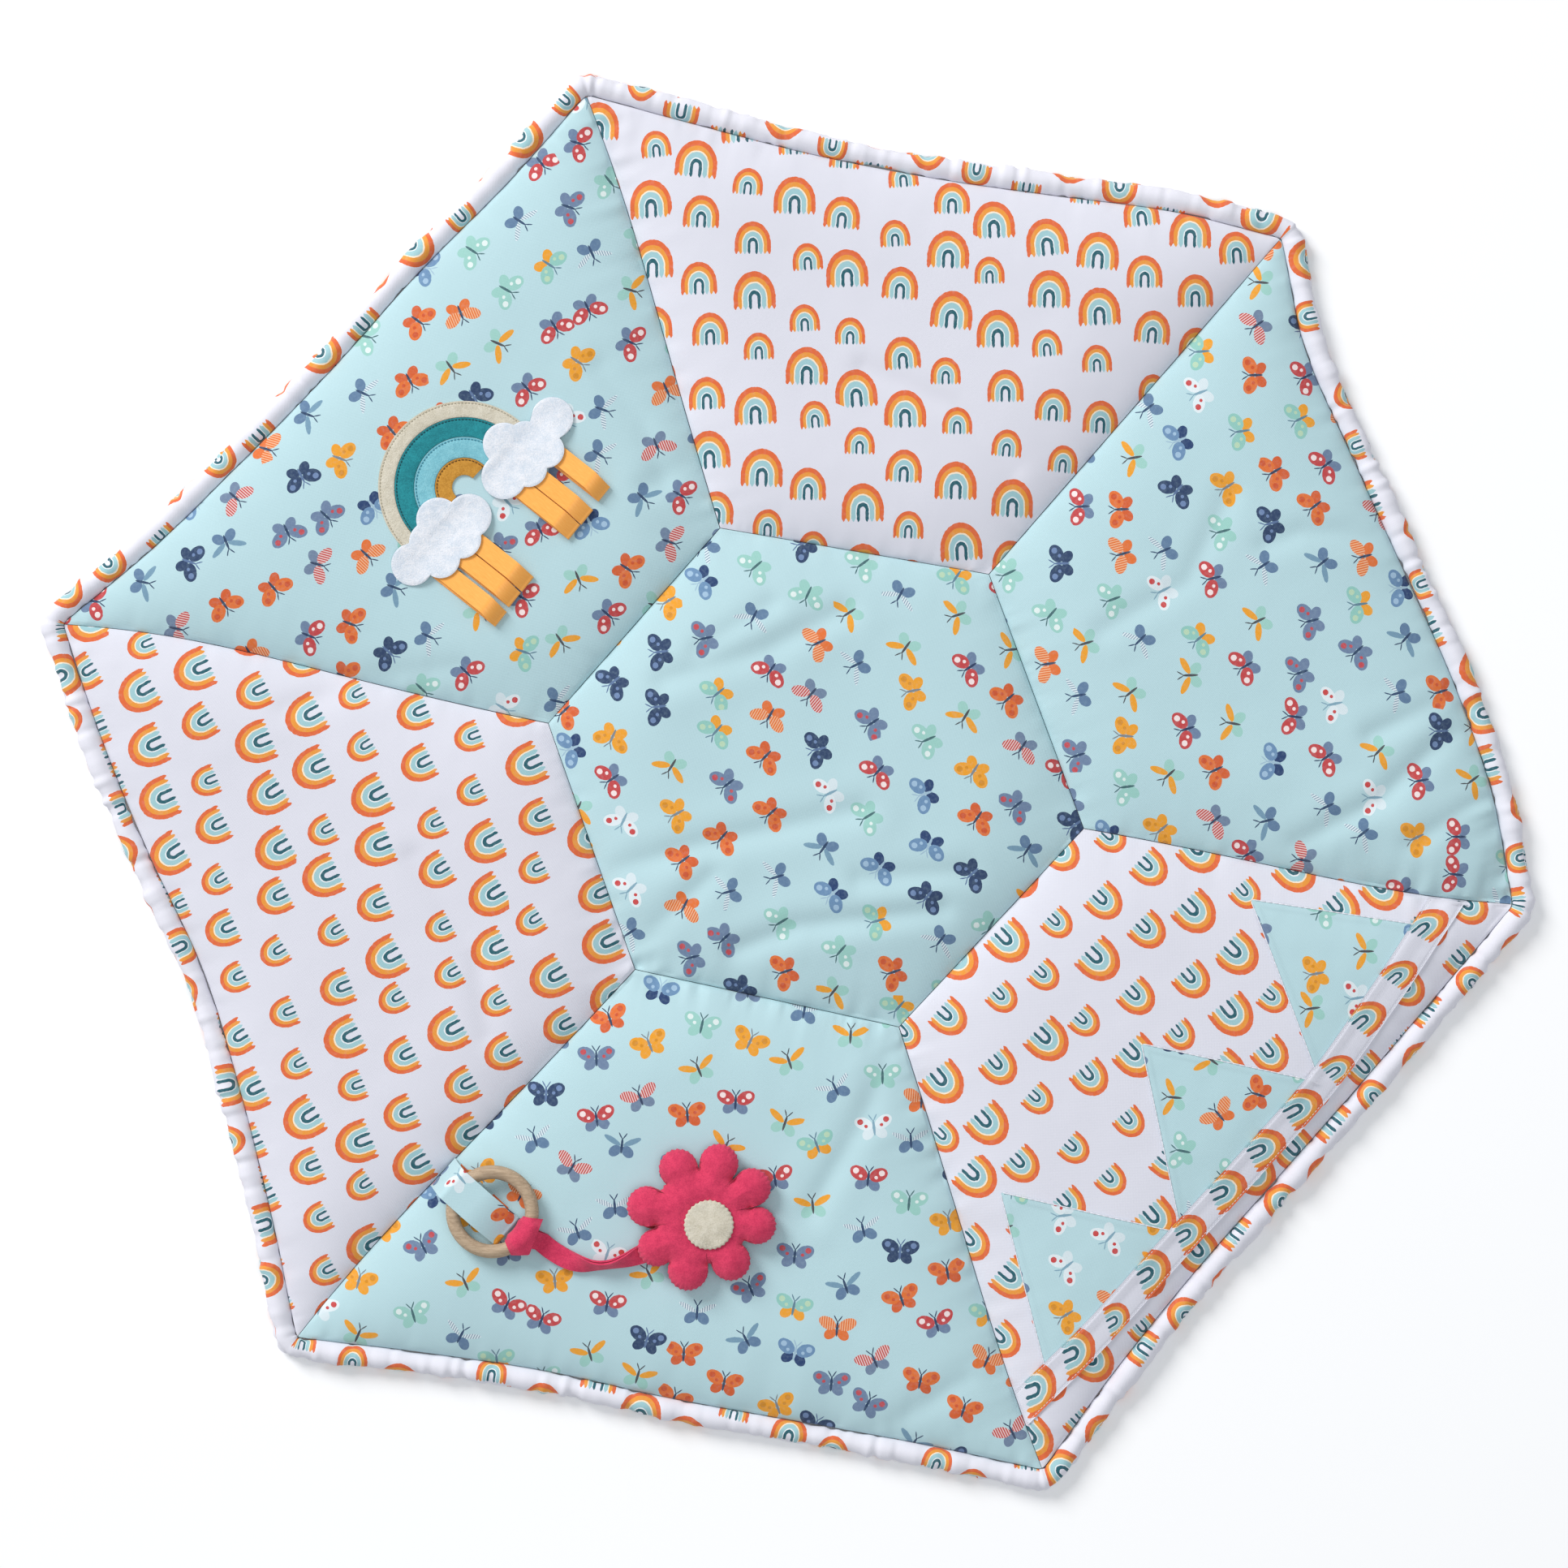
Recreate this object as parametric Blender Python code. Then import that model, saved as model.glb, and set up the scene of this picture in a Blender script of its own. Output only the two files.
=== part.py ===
"""A baby's padded play mat: seven puffed panels in a hexagon, bound with a rolled strip, lying flat.

The frame is in metres with +Z up. The mat lies on z = 0 and is centred on x = y = 0.
Sizes below are in millimetres, and become metres where a mesh is made.
"""
import math
from itertools import pairwise

import bpy
from mathutils import Vector
from mathutils.bvhtree import BVHTree

MILLIMETRE = 0.001

# Levels and thicknesses
BACKING_THICK = 2.0
SEWN_GAP = 0.3
REST_GAP = 0.5
PANEL_BASE = BACKING_THICK + SEWN_GAP
SEAM_HEIGHT = 8.5
CROWN_HEIGHT = 25.0
SHOULDER_WIDTH = 85.0
SEAM_HALF_GAP = 0.2
BINDING_WIDTH = 16.8
BINDING_HEIGHT = 14.0
BINDING_GAP = 0.8
RIM_TO_PANEL = BINDING_WIDTH + BINDING_GAP
CORNER_REACH = 16.0

# The hexagon's corners, anticlockwise: where the sides would cross, where the seams meet in the middle,
# and how far the seam between the two bows to its clockwise side
CORNERS = (
    # name, outer x, outer y, seam x, seam y, seam bow
    ("upper_right", 408.2, 449.7, 160.1, 166.5, 0.0),
    ("top", -167.8, 569.0, -55.1, 203.5, 4.0),
    ("left", -600.7, 132.2, -192.5, 47.3, 8.0),
    ("lower_left", -407.6, -459.4, -123.1, -149.7, 4.5),
    ("bottom", 210.0, -569.0, 88.1, -195.7, 3.0),
    ("right", 598.8, -102.4, 235.9, -36.9, 5.5),
)
CORNER_NAMES = [row[0] for row in CORNERS]
# Each side starts at the corner of the same row; the columns say how far it bows out at its sixths
SIDES = (
    # panel, cloth, bow at 1/6, 2/6, 3/6, 4/6, 5/6
    ("panel_top", "rainbow", (3.8, -3.0, -9.0, -10.0, -5.3)),
    ("panel_upper_left", "butterfly", (-5.0, -5.0, -10.0, -11.0, -9.0)),
    ("panel_left", "rainbow", (-0.5, -8.0, -20.5, -18.5, -11.0)),
    ("panel_bottom", "butterfly", (-5.5, -8.5, -4.5, -4.0, -3.5)),
    ("panel_lower_right", "rainbow", (-6.0, -8.0, -5.5, -2.5, -1.0)),
    ("panel_right", "butterfly", (13.5, 13.5, 5.0, -4.0, -11.5)),
)
# The main soft creases in the puffed cloth, each a trough along a line of points
CREASES = (
    # depth, half width, points
    (3.0, 12.0, ((-43, -135), (8, -115), (122, -102))),
    (2.6, 13.0, ((-144, -72), (-73, -51), (57, -22))),
    (2.0, 12.0, ((-112, -121), (-63, -75))),
    (2.4, 13.0, ((-99, 82), (-20, 105), (44, 137))),
    (1.8, 11.0, ((-73, 106), (-14, 142))),
    (2.2, 12.0, ((57, -78), (141, -72))),
    (3.0, 12.0, ((407, -49), (472, -14), (530, 41))),
    (2.4, 11.0, ((465, 38), (517, 62))),
    (2.4, 11.0, ((498, -49), (560, -10))),
    (1.8, 12.0, ((381, 189), (410, 200), (472, 197))),
    (2.4, 13.0, ((86, -208), (57, -273), (18, -341))),
    (2.2, 13.0, ((73, -520), (141, -477))),
    (1.8, 13.0, ((-112, 236), (-70, 262))),
)
UNEVEN_HEIGHT = 1.1
UNEVEN_PITCH = 150.0
PANEL_STEPS_OUT = 13
PANEL_STEPS_ROUND = 20
CENTRE_RING_SIZES = (1.0, 0.975, 0.92, 0.84, 0.73, 0.59, 0.43, 0.22)
# How far round a place a piece looks for what it lies on, at least as far as its own facets reach
NARROW_LOOK = 4.0
DISC_LOOK = 4.5
RIBBON_LOOK = 8.5
PENNANT_LOOK = 7.0
CLOUD_LOOK = 11.0
TAPE_LOOK = 13.0

# Felt rainbow, clouds and ribbon loops on the upper left panel
RAINBOW_CENTRE = Vector((-258.6, 235.2))
RAINBOW_UP = math.radians(138)
FELT_THICK = 1.5
BAND_HALF_TURN = math.radians(91)
BAND_EDGES = (
    # node, material, outer radius, inner radius
    ("band_cream", "cream_felt", 68.7, 55.9),
    ("band_teal", "teal_felt", 55.5, 40.3),
    ("band_light_blue", "light_blue_felt", 39.9, 23.7),
    ("band_ochre", "ochre_felt", 23.3, 9.7),
)
CLOUDS = (
    # node, middle, lobes as x, y and radius
    ("cloud_upper", (-209.9, 261.8), ((-188.6, 290.3, 16.8), (-193.1, 264.4, 14.3), (-226.8, 269.6, 16.9),
                                      (-209.9, 272.8, 15.0), (-226.8, 243.6, 18.1), (-207.4, 250.1, 15.0))),
    ("cloud_lower", (-274.8, 194.4), ((-254.7, 212.0, 17.9), (-279.3, 209.3, 17.5), (-285.8, 191.2, 16.8),
                                      (-300.0, 173.7, 16.9), (-277.3, 178.2, 15.6), (-260.5, 193.8, 15.6))),
)
RIBBON_WIDTH = 15.0
RIBBON_THICK = 1.0
RIBBON_LENGTH = 62.0
RIBBON_DIRECTION = math.radians(-38.4)
RIBBON_FOLD_RADIUS = 2.0
RIBBON_FOLDS = (
    # node, middle of the folded end x, y
    ("ribbon_lower_1", -229.3, 129.8),
    ("ribbon_lower_2", -218.2, 145.2),
    ("ribbon_lower_3", -207.8, 157.6),
    ("ribbon_upper_1", -170.8, 199.1),
    ("ribbon_upper_2", -160.6, 211.0),
    ("ribbon_upper_3", -147.0, 229.4),
)

# Wooden ring with its cloth loop and felt strap, and the flower, on the bottom panel
RING_CENTRE = Vector((-235.9, -341.5))
RING_RADIUS = 31.5
RING_SECTION = 5.5
LOOP_WIDTH = 29.0
LOOP_LENGTH = 67.5
LOOP_START = Vector((-276.0, -311.5))
LOOP_DIRECTION = math.radians(-41.7)
LOOP_FOLD_RADIUS = 2.2
CLOTH_THICK = 1.2
STRAP_WIDTH = 15.5
STRAP_TWISTED_WIDTH = 12.0
STRAP_AZIMUTH = math.radians(-36)
STRAP_EASE = 1.4
STRAP_LAYER_GAP = 0.8
STRAP_STEPS = 4
# The strap from the ring to the flower: place, and its turn about its own length in degrees
STRAP_COURSE = (
    # x, y, turn
    (-197.0, -366.0, 0.0),
    (-189.0, -372.5, 0.0),
    (-177.0, -379.5, 8.0),
    (-165.0, -383.5, 35.0),
    (-154.0, -384.5, 62.0),
    (-142.0, -383.5, 66.0),
    (-130.0, -380.5, 45.0),
    (-121.0, -377.2, 22.0),
    (-113.0, -374.0, 0.0),
)
FLOWER_CENTRE = Vector((-68.7, -344.7))
FLOWER_THICK = 19.0
FLOWER_EDGE_SHARE = 0.45
FLOWER_EDGE_THICK_SHARE = 0.02
FLOWER_BODY_RADIUS = 39.0
FLOWER_RING_SIZES = (1.0, 0.95, 0.86, 0.72, 0.5)
PETALS = (
    # direction in degrees, distance of the lobe's middle, radius of the lobe
    (72.6, 44.0, 15.6),
    (117.0, 42.5, 15.6),
    (170.3, 45.0, 16.2),
    (214.6, 44.5, 15.2),
    (255.0, 45.0, 16.2),
    (302.0, 42.5, 15.8),
    (350.1, 44.5, 15.0),
    (30.0, 45.5, 15.4),
)
DISC_CENTRE = Vector((-63.5, -351.2))
DISC_RADIUS = 20.0
DISC_DOME = 2.2

# Pennants and the tape over their bases, on the lower right panel
TAPE_WIDTH = 25.0
TAPE_START = Vector((175.6, -493.1))
TAPE_END = Vector((508.7, -95.9))
TAPE_TUCK = 6.0
TAPE_OUTWARD = Vector((0.766, -0.643))
TAPE_END_GAP = 2.0
TAPE_BOWS = (0.0, 7.0, 10.0, 14.0, 16.0, 9.0, 0.0)
PENNANTS = (
    # node, point x, y, upper base corner x, y, lower base corner x, y
    ("pennant_upper", 368.1, -93.3, 500.9, -110.2, 416.0, -228.1),
    ("pennant_middle", 280.6, -208.0, 413.4, -233.9, 306.5, -346.7),
    ("pennant_lower", 168.5, -326.6, 303.3, -354.5, 200.2, -464.6),
)

COLOURS = {
    # material: colour, roughness
    "butterfly_cotton": ("BFE0E2", 0.85),
    "rainbow_cotton": ("E6E5EE", 0.85),
    "backing_cotton": ("E3E2EA", 0.88),
    "binding_cotton": ("E9E6EE", 0.85),
    "cream_felt": ("E0DBC9", 0.95),
    "teal_felt": ("23969F", 0.95),
    "light_blue_felt": ("82CDDE", 0.95),
    "ochre_felt": ("D39A3B", 0.95),
    "white_felt": ("E2E6F0", 0.95),
    "satin_ribbon": ("FDBA50", 0.40),
    "beech": ("C8AA8C", 0.60),
    "red_felt": ("E23C64", 0.95),
}

# Solids made so far, by name, to lay the next pieces on
TREES = {}


def clear_scene():
    """Take the startup objects out."""
    for thing in list(bpy.data.objects):
        bpy.data.objects.remove(thing, do_unlink=True)


def linear(hex_colour):
    """Turn an sRGB hex colour into linear RGBA."""
    channels = [int(hex_colour[i:i + 2], 16) / 255 for i in (0, 2, 4)]
    return (*[c / 12.92 if c <= 0.04045 else ((c + 0.055) / 1.055) ** 2.4 for c in channels], 1.0)


def material(name):
    """Give the named material, making it the first time."""
    found = bpy.data.materials.get(name)
    if found:
        return found
    colour, roughness = COLOURS[name]
    made = bpy.data.materials.new(name)
    made.use_nodes = True
    shader = made.node_tree.nodes["Principled BSDF"]
    shader.inputs["Base Color"].default_value = linear(colour)
    shader.inputs["Roughness"].default_value = roughness
    shader.inputs["Metallic"].default_value = 0.0
    return made


def make_solid(name, points, faces, finish):
    """Make one closed mesh object from points in millimetres, and keep a tree of it to lay things on."""
    mesh = bpy.data.meshes.new(name)
    mesh.from_pydata([Vector(p) * MILLIMETRE for p in points], [], faces)
    mesh.materials.append(material(finish))
    mesh.shade_smooth()
    mesh.set_sharp_from_angle(angle=math.radians(50))
    thing = bpy.data.objects.new(name, mesh)
    bpy.context.collection.objects.link(thing)
    TREES[name] = BVHTree.FromPolygons([Vector(p) for p in points], faces)
    return thing


def top_of(names, x, y):
    """Height of the highest of the named solids at one place."""
    hits = [TREES[name].ray_cast(Vector((x, y, 300.0)), Vector((0, 0, -1)))[0] for name in names]
    return max((hit.z for hit in hits if hit), default=PANEL_BASE)


def rest_on(names, x, y, reach=0.0):
    """Height at which a piece lies on the named solids, looking as far round as its facets reach."""
    around = [(x, y)]
    for share in (0.5, 1.0) if reach else ():
        for step in range(12):
            turn = step * math.tau / 12
            away = reach * share
            around.append((x + away * math.cos(turn), y + away * math.sin(turn)))
    return REST_GAP + max(top_of(names, *place) for place in around)


def direction(angle):
    """Unit vector in the mat's plane."""
    return Vector((math.cos(angle), math.sin(angle)))


def smooth_between(values, place):
    """Read a row of values at a place along it, through a Catmull-Rom curve."""
    last = len(values) - 1
    place = min(max(place, 0.0), float(last))
    left = min(int(place), last - 1)
    f = place - left
    before = values[max(left - 1, 0)]
    start = values[left]
    end = values[left + 1]
    after = values[min(left + 2, last)]
    slope = (end - before) * f + (2 * before - 5 * start + 4 * end - after) * f * f
    return start + 0.5 * (slope + (3 * start - before - 3 * end + after) * f ** 3)


def grade(count, bias=0.6):
    """Fractions from 0 to 1 that crowd towards both ends, where the cloth turns down into a seam."""
    even = [i / count for i in range(count + 1)]
    return [(1 - bias) * t + bias * 0.5 * (1 - math.cos(math.pi * t)) for t in even]


def outer_corner(index):
    """Corner where two sides would cross."""
    return Vector(CORNERS[index % len(CORNERS)][1:3])


def seam_corner(index):
    """Corner of the middle hexagon, where three seams meet."""
    return Vector(CORNERS[index % len(CORNERS)][3:5])


def side_frame(index):
    """Start, length, direction and inward normal of one side's chord."""
    start = outer_corner(index)
    run = outer_corner(index + 1) - start
    along = run.normalized()
    return start, run.length, along, Vector((-along.y, along.x))


def bow_at(index, distance, length):
    """How far the side bows out at a distance along its chord."""
    values = (0.0, *SIDES[index % len(SIDES)][2], 0.0)
    return smooth_between(values, distance / length * (len(values) - 1))


def side_point(index, distance):
    """Point of the outer edge of one side."""
    start, length, along, inward = side_frame(index)
    return start + along * distance - inward * bow_at(index, distance, length)


def rounded_corner(index, fraction):
    """Point and inward normal on the rounding at a corner: a quadratic curve from side to side."""
    length = side_frame(index - 1)[1]
    first = side_point(index - 1, length - CORNER_REACH)
    last = side_point(index, CORNER_REACH)
    bend = outer_corner(index)
    point = first * (1 - fraction) ** 2 + bend * 2 * fraction * (1 - fraction) + last * fraction ** 2
    tangent = ((bend - first) * (1 - fraction) + (last - bend) * fraction).normalized()
    return point, Vector((-tangent.y, tangent.x))


def edge_station(index, fraction):
    """Point and inward normal of the outer edge, from the middle of one rounded corner to the next."""
    length = side_frame(index)[1]
    distance = fraction * length
    if distance < CORNER_REACH:
        return rounded_corner(index, 0.5 + 0.5 * distance / CORNER_REACH)
    if distance > length - CORNER_REACH:
        return rounded_corner(index + 1, 0.5 * (distance - length + CORNER_REACH) / CORNER_REACH)
    step = 2.0
    tangent = (side_point(index, distance + step) - side_point(index, distance - step)).normalized()
    return side_point(index, distance), Vector((-tangent.y, tangent.x))


def panel_edge(index, fraction):
    """Point of a panel's outer edge, where the binding takes it."""
    point, inward = edge_station(index, fraction)
    return point + inward * RIM_TO_PANEL


def seam_line(index):
    """Start, length, direction and clockwise normal of the seam that runs out to one corner."""
    start = seam_corner(index)
    run = panel_edge(index, 0.0) - start
    along = run.normalized()
    return start, run.length, along, Vector((along.y, -along.x))


def seam_bow(index, share):
    """How far a seam bows to its clockwise side at a share of its length: most at seven tenths."""
    share = min(max(share, 0.0), 1.0)
    return CORNERS[index % len(CORNERS)][5] * math.sin(math.pi * share * share)


def clockwise_of_seam(point, index):
    """Distance of a point to the clockwise side of a seam."""
    start, length, along, clockwise = seam_line(index)
    away = point - start
    return away.dot(clockwise) - seam_bow(index, away.dot(along) / length)


def seam_crossing(point, along, index):
    """Where a line meets the seam that runs out to one corner."""
    clockwise = seam_line(index)[3]
    for _ in range(4):
        point = point - along * (clockwise_of_seam(point, index) / along.dot(clockwise))
    return point


def distance_to_line(point, start, end):
    """Distance of a point to the left of the line from start to end."""
    along = (end - start).normalized()
    return along.x * (point.y - start.y) - along.y * (point.x - start.x)


def distance_to_course(point, course):
    """Shortest distance from a point to a row of joined segments."""
    nearest = math.inf
    for first, last in pairwise(course):
        start = Vector(first)
        run = Vector(last) - start
        t = min(max((point - start).dot(run) / run.length_squared, 0.0), 1.0)
        nearest = min(nearest, (point - start - run * t).length)
    return nearest


def shoulder(distance):
    """How much of the full puff stands at a distance from a seam: steep at the seam, then level."""
    inside = min(max(distance / SHOULDER_WIDTH, 0.0), 1.0)
    return (1 - (1 - inside) ** 2.2) ** 0.6


def puffed(point, distances):
    """Height of a panel's cloth over the floor."""
    share = math.prod(shoulder(d) for d in distances)
    height = SEAM_HEIGHT + (CROWN_HEIGHT - SEAM_HEIGHT) * share
    for depth, width, course in CREASES:
        gap = distance_to_course(point, course)
        height -= depth * share * math.exp(-(gap / width) ** 2)
    wave = math.sin(point.x / UNEVEN_PITCH * 2.3) * math.cos(point.y / UNEVEN_PITCH * 2.9 + 1.0)
    return height + UNEVEN_HEIGHT * wave * share


def close_grid(rows, top, bottom):
    """Points and faces of a sheet over a grid of places, from its upper and lower heights."""
    count = len(rows)
    width = len(rows[0])
    flat = [place for row in rows for place in row]
    points = [(p.x, p.y, top(p)) for p in flat] + [(p.x, p.y, bottom(p)) for p in flat]
    under = len(flat)
    faces = []
    for r in range(count - 1):
        for c in range(width - 1):
            a = r * width + c
            quad = (a, a + 1, a + width + 1, a + width)
            faces.append(quad)
            faces.append(tuple(under + i for i in reversed(quad)))
    rim = [c for c in range(width)]
    rim += [r * width + width - 1 for r in range(1, count)]
    rim += [(count - 1) * width + c for c in range(width - 2, -1, -1)]
    rim += [r * width for r in range(count - 2, 0, -1)]
    for i, j in zip(rim, rim[1:] + rim[:1]):
        faces.append((j, i, under + i, under + j))
    return points, faces


def close_rings(rings, middle, top, bottom):
    """Points and faces of a sheet over closed rings of places, outermost first, round a middle point."""
    width = len(rings[0])
    flat = [place for ring in rings for place in ring] + [middle]
    points = [(p.x, p.y, top(p)) for p in flat] + [(p.x, p.y, bottom(p)) for p in flat]
    under = len(flat)
    faces = []
    for r in range(len(rings) - 1):
        for c in range(width):
            d = (c + 1) % width
            quad = (r * width + c, r * width + d, (r + 1) * width + d, (r + 1) * width + c)
            faces.append(quad)
            faces.append(tuple(under + i for i in reversed(quad)))
    inner = (len(rings) - 1) * width
    for c in range(width):
        d = (c + 1) % width
        faces.append((inner + c, inner + d, under - 1))
        faces.append((2 * under - 1, under + inner + d, under + inner + c))
        faces.append((d, c, under + c, under + d))
    return points, faces


def flat_under(points, faces, keep, base):
    """Swap a puffed solid's lower faces for one flat face: keep is the number of upper points."""
    upper = [face for face in faces if max(face) < keep]
    rim = [face for face in faces if min(face) < keep <= max(face)]
    lower = sorted({i for face in rim for i in face if i >= keep})
    new_index = {old: keep + n for n, old in enumerate(lower)}
    walls = [tuple(new_index.get(i, i) for i in face) for face in rim]
    follow = {wall[2]: wall[3] for wall in walls}
    loop = [walls[0][2]]
    while follow[loop[-1]] != loop[0]:
        loop.append(follow[loop[-1]])
    floor_points = [(points[i][0], points[i][1], base) for i in lower]
    return points[:keep] + floor_points, upper + walls + [tuple(reversed(loop))]


def build_outer_panel(index):
    """One four-sided puffed panel between two seams, the middle hexagon and the binding."""
    name, cloth, _ = SIDES[index]
    inner_start = seam_corner(index)
    inner_end = seam_corner(index + 1)
    inner_line = (inner_end - inner_start).normalized()
    into_panel = Vector((inner_line.y, -inner_line.x)) * SEAM_HALF_GAP
    clockwise_first = seam_line(index)[3]
    clockwise_last = seam_line(index + 1)[3]
    rows = []
    for v in reversed(grade(PANEL_STEPS_OUT, 0.5)):
        first = clockwise_first * (seam_bow(index, v) - SEAM_HALF_GAP)
        last = clockwise_last * (seam_bow(index + 1, v) + SEAM_HALF_GAP)
        row = []
        for u in grade(PANEL_STEPS_ROUND):
            inner = inner_start.lerp(inner_end, u) + into_panel
            row.append(inner.lerp(panel_edge(index, u), v) + first.lerp(last, u))
        rows.append(row)
    chord_start, length, along, inward = side_frame(index)

    def height(point):
        from_rim = (point - chord_start).dot(inward)
        from_rim += bow_at(index, (point - chord_start).dot(along), length) - RIM_TO_PANEL
        return puffed(point, (
            from_rim,
            distance_to_line(point, inner_end, inner_start),
            -clockwise_of_seam(point, index),
            clockwise_of_seam(point, index + 1),
        ))

    points, faces = close_grid(rows, height, lambda point: PANEL_BASE)
    points, faces = flat_under(points, faces, len(points) // 2, PANEL_BASE)
    make_solid(name, points, faces, f"{cloth}_cotton")


def build_centre_panel():
    """The puffed hexagon in the middle."""
    corners = [seam_corner(i) for i in range(len(CORNERS))]
    middle = sum(corners, Vector((0, 0))) / len(corners)
    edges = list(zip(corners, corners[1:] + corners[:1]))
    outline = []
    for start, end in edges:
        outline += [start.lerp(end, t) for t in grade(7, 0.3)[:-1]]
    shrink = 1 - SEAM_HALF_GAP / min(distance_to_line(middle, *edge) for edge in edges)
    rings = [[middle.lerp(p, shrink * size) for p in outline] for size in CENTRE_RING_SIZES]

    def height(point):
        return puffed(point, [distance_to_line(point, *edge) for edge in edges])

    points, faces = close_rings(rings, middle, height, lambda point: PANEL_BASE)
    points, faces = flat_under(points, faces, len(points) // 2, PANEL_BASE)
    make_solid("panel_centre", points, faces, "butterfly_cotton")


def build_backing():
    """The flat cloth underneath, which reaches to the binding."""
    outline = []
    for index in range(len(SIDES)):
        outline += [panel_edge(index, t) for t in grade(12)[:-1]]
    count = len(outline)
    points = [(p.x, p.y, BACKING_THICK) for p in outline] + [(p.x, p.y, 0.0) for p in outline]
    faces = [tuple(range(count)), tuple(range(2 * count - 1, count - 1, -1))]
    for i in range(count):
        j = (i + 1) % count
        faces.append((j, i, count + i, count + j))
    make_solid("backing", points, faces, "backing_cotton")


def build_binding():
    """The rolled strip round the edge: an oval section carried round the rim."""
    sides = 12
    stations = []
    for index in range(len(SIDES)):
        corner = CORNER_REACH / side_frame(index)[1]
        runs = [0.0, corner * 0.5]
        runs += [corner + (1 - 2 * corner) * i / 16 for i in range(17)]
        runs += [1 - corner * 0.5]
        stations += [edge_station(index, t) for t in runs]
    points = []
    for point, inward in stations:
        core = point + inward * (BINDING_WIDTH / 2)
        for k in range(sides):
            turn = k * math.tau / sides
            out = core - inward * (BINDING_WIDTH / 2) * math.cos(turn)
            rise = BINDING_HEIGHT / 2 * (1 + math.sin(turn))
            points.append((out.x, out.y, rise))
    count = len(stations)
    faces = []
    for s in range(count):
        n = (s + 1) % count
        for k in range(sides):
            m = (k + 1) % sides
            faces.append((s * sides + k, n * sides + k, n * sides + m, s * sides + m))
    make_solid("binding", points, faces, "binding_cotton")


def build_bands():
    """Four felt half rings side by side."""
    for name, finish, outer, inner in BAND_EDGES:
        steps = 14
        rows = []
        for radius in (outer, (inner + outer) / 2, inner):
            row = []
            for step in range(steps + 1):
                turn = RAINBOW_UP + BAND_HALF_TURN * (2 * step / steps - 1)
                row.append(RAINBOW_CENTRE + direction(turn) * radius)
            rows.append(row)
        points, faces = close_grid(
            rows,
            lambda p: rest_on(["panel_upper_left"], p.x, p.y, NARROW_LOOK) + FELT_THICK,
            lambda p: rest_on(["panel_upper_left"], p.x, p.y, NARROW_LOOK),
        )
        make_solid(name, points, faces, finish)


def lobed_outline(middle, lobes, count):
    """Outline of a group of overlapping discs, seen from its middle."""
    outline = []
    for step in range(count):
        ray = direction(step * math.tau / count)
        reach = 0.0
        for x, y, radius in lobes:
            to_lobe = Vector((x, y)) - middle
            along = to_lobe.dot(ray)
            aside = to_lobe.length_squared - along * along
            if radius * radius > aside:
                reach = max(reach, along + math.sqrt(radius * radius - aside))
        outline.append(middle + ray * reach)
    return outline


def build_clouds():
    """White felt clouds over the rainbow's ends and the ribbons' roots."""
    below = ["panel_upper_left"] + [row[0] for row in BAND_EDGES] + [row[0] for row in RIBBON_FOLDS]
    for name, middle, lobes in CLOUDS:
        middle = Vector(middle)
        outline = lobed_outline(middle, lobes, 42)
        rings = [[middle.lerp(p, size) for p in outline] for size in (1.0, 0.8, 0.6, 0.4, 0.2)]
        points, faces = close_rings(
            rings,
            middle,
            lambda p: rest_on(below, p.x, p.y, CLOUD_LOOK) + FELT_THICK,
            lambda p: rest_on(below, p.x, p.y, CLOUD_LOOK),
        )
        make_solid(name, points, faces, "white_felt")


def strip_solid(name, stations, finish):
    """A flat strip through stations, each a middle point, a width vector and a thickness vector."""
    points = []
    for middle, across, through in stations:
        points += [middle + across + through, middle - across + through,
                   middle - across - through, middle + across - through]
    faces = [(3, 2, 1, 0)]
    for s in range(len(stations) - 1):
        for k in range(4):
            m = (k + 1) % 4
            faces.append((s * 4 + k, s * 4 + m, s * 4 + 4 + m, s * 4 + 4 + k))
    end = (len(stations) - 1) * 4
    faces.append((end, end + 1, end + 2, end + 3))
    make_solid(name, points, faces, finish)


def folded_stations(course, across, thick):
    """Stations of a strip along a course in space that turns only about its width."""
    stations = []
    for i, place in enumerate(course):
        ahead = course[min(i + 1, len(course) - 1)]
        behind = course[max(i - 1, 0)]
        tangent = (ahead - behind).normalized()
        stations.append((place, across, across.normalized().cross(tangent) * (-thick / 2)))
    return stations


def build_ribbons():
    """Folded satin loops: a lower layer, a round fold at the end and an upper layer."""
    run = direction(RIBBON_DIRECTION)
    across = Vector((-run.y, run.x, 0.0)) * (RIBBON_WIDTH / 2)
    fold_radius = RIBBON_FOLD_RADIUS
    for name, x, y in RIBBON_FOLDS:
        fold = Vector((x, y)) - run * (fold_radius + RIBBON_THICK / 2)
        level = []
        for step in range(6):
            back = RIBBON_LENGTH * (5 - step) / 5
            place = fold - run * back
            height = rest_on(["panel_upper_left"], place.x, place.y, RIBBON_LOOK)
            level.append((place, height + RIBBON_THICK / 2))
        course = [Vector((p.x, p.y, z)) for p, z in level]
        centre = Vector((fold.x, fold.y, level[-1][1] + fold_radius))
        for step in range(1, 6):
            turn = math.pi * step / 6
            out = run * math.sin(turn) * fold_radius
            course.append(centre + Vector((out.x, out.y, -math.cos(turn) * fold_radius)))
        for step, (place, z) in enumerate(reversed(level)):
            close = 1 - step / 5
            spread = (RIBBON_THICK + REST_GAP) * (1 - close) + 2 * fold_radius * close
            course.append(Vector((place.x, place.y, z + spread)))
        strip_solid(name, folded_stations(course, across, RIBBON_THICK), "satin_ribbon")


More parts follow.
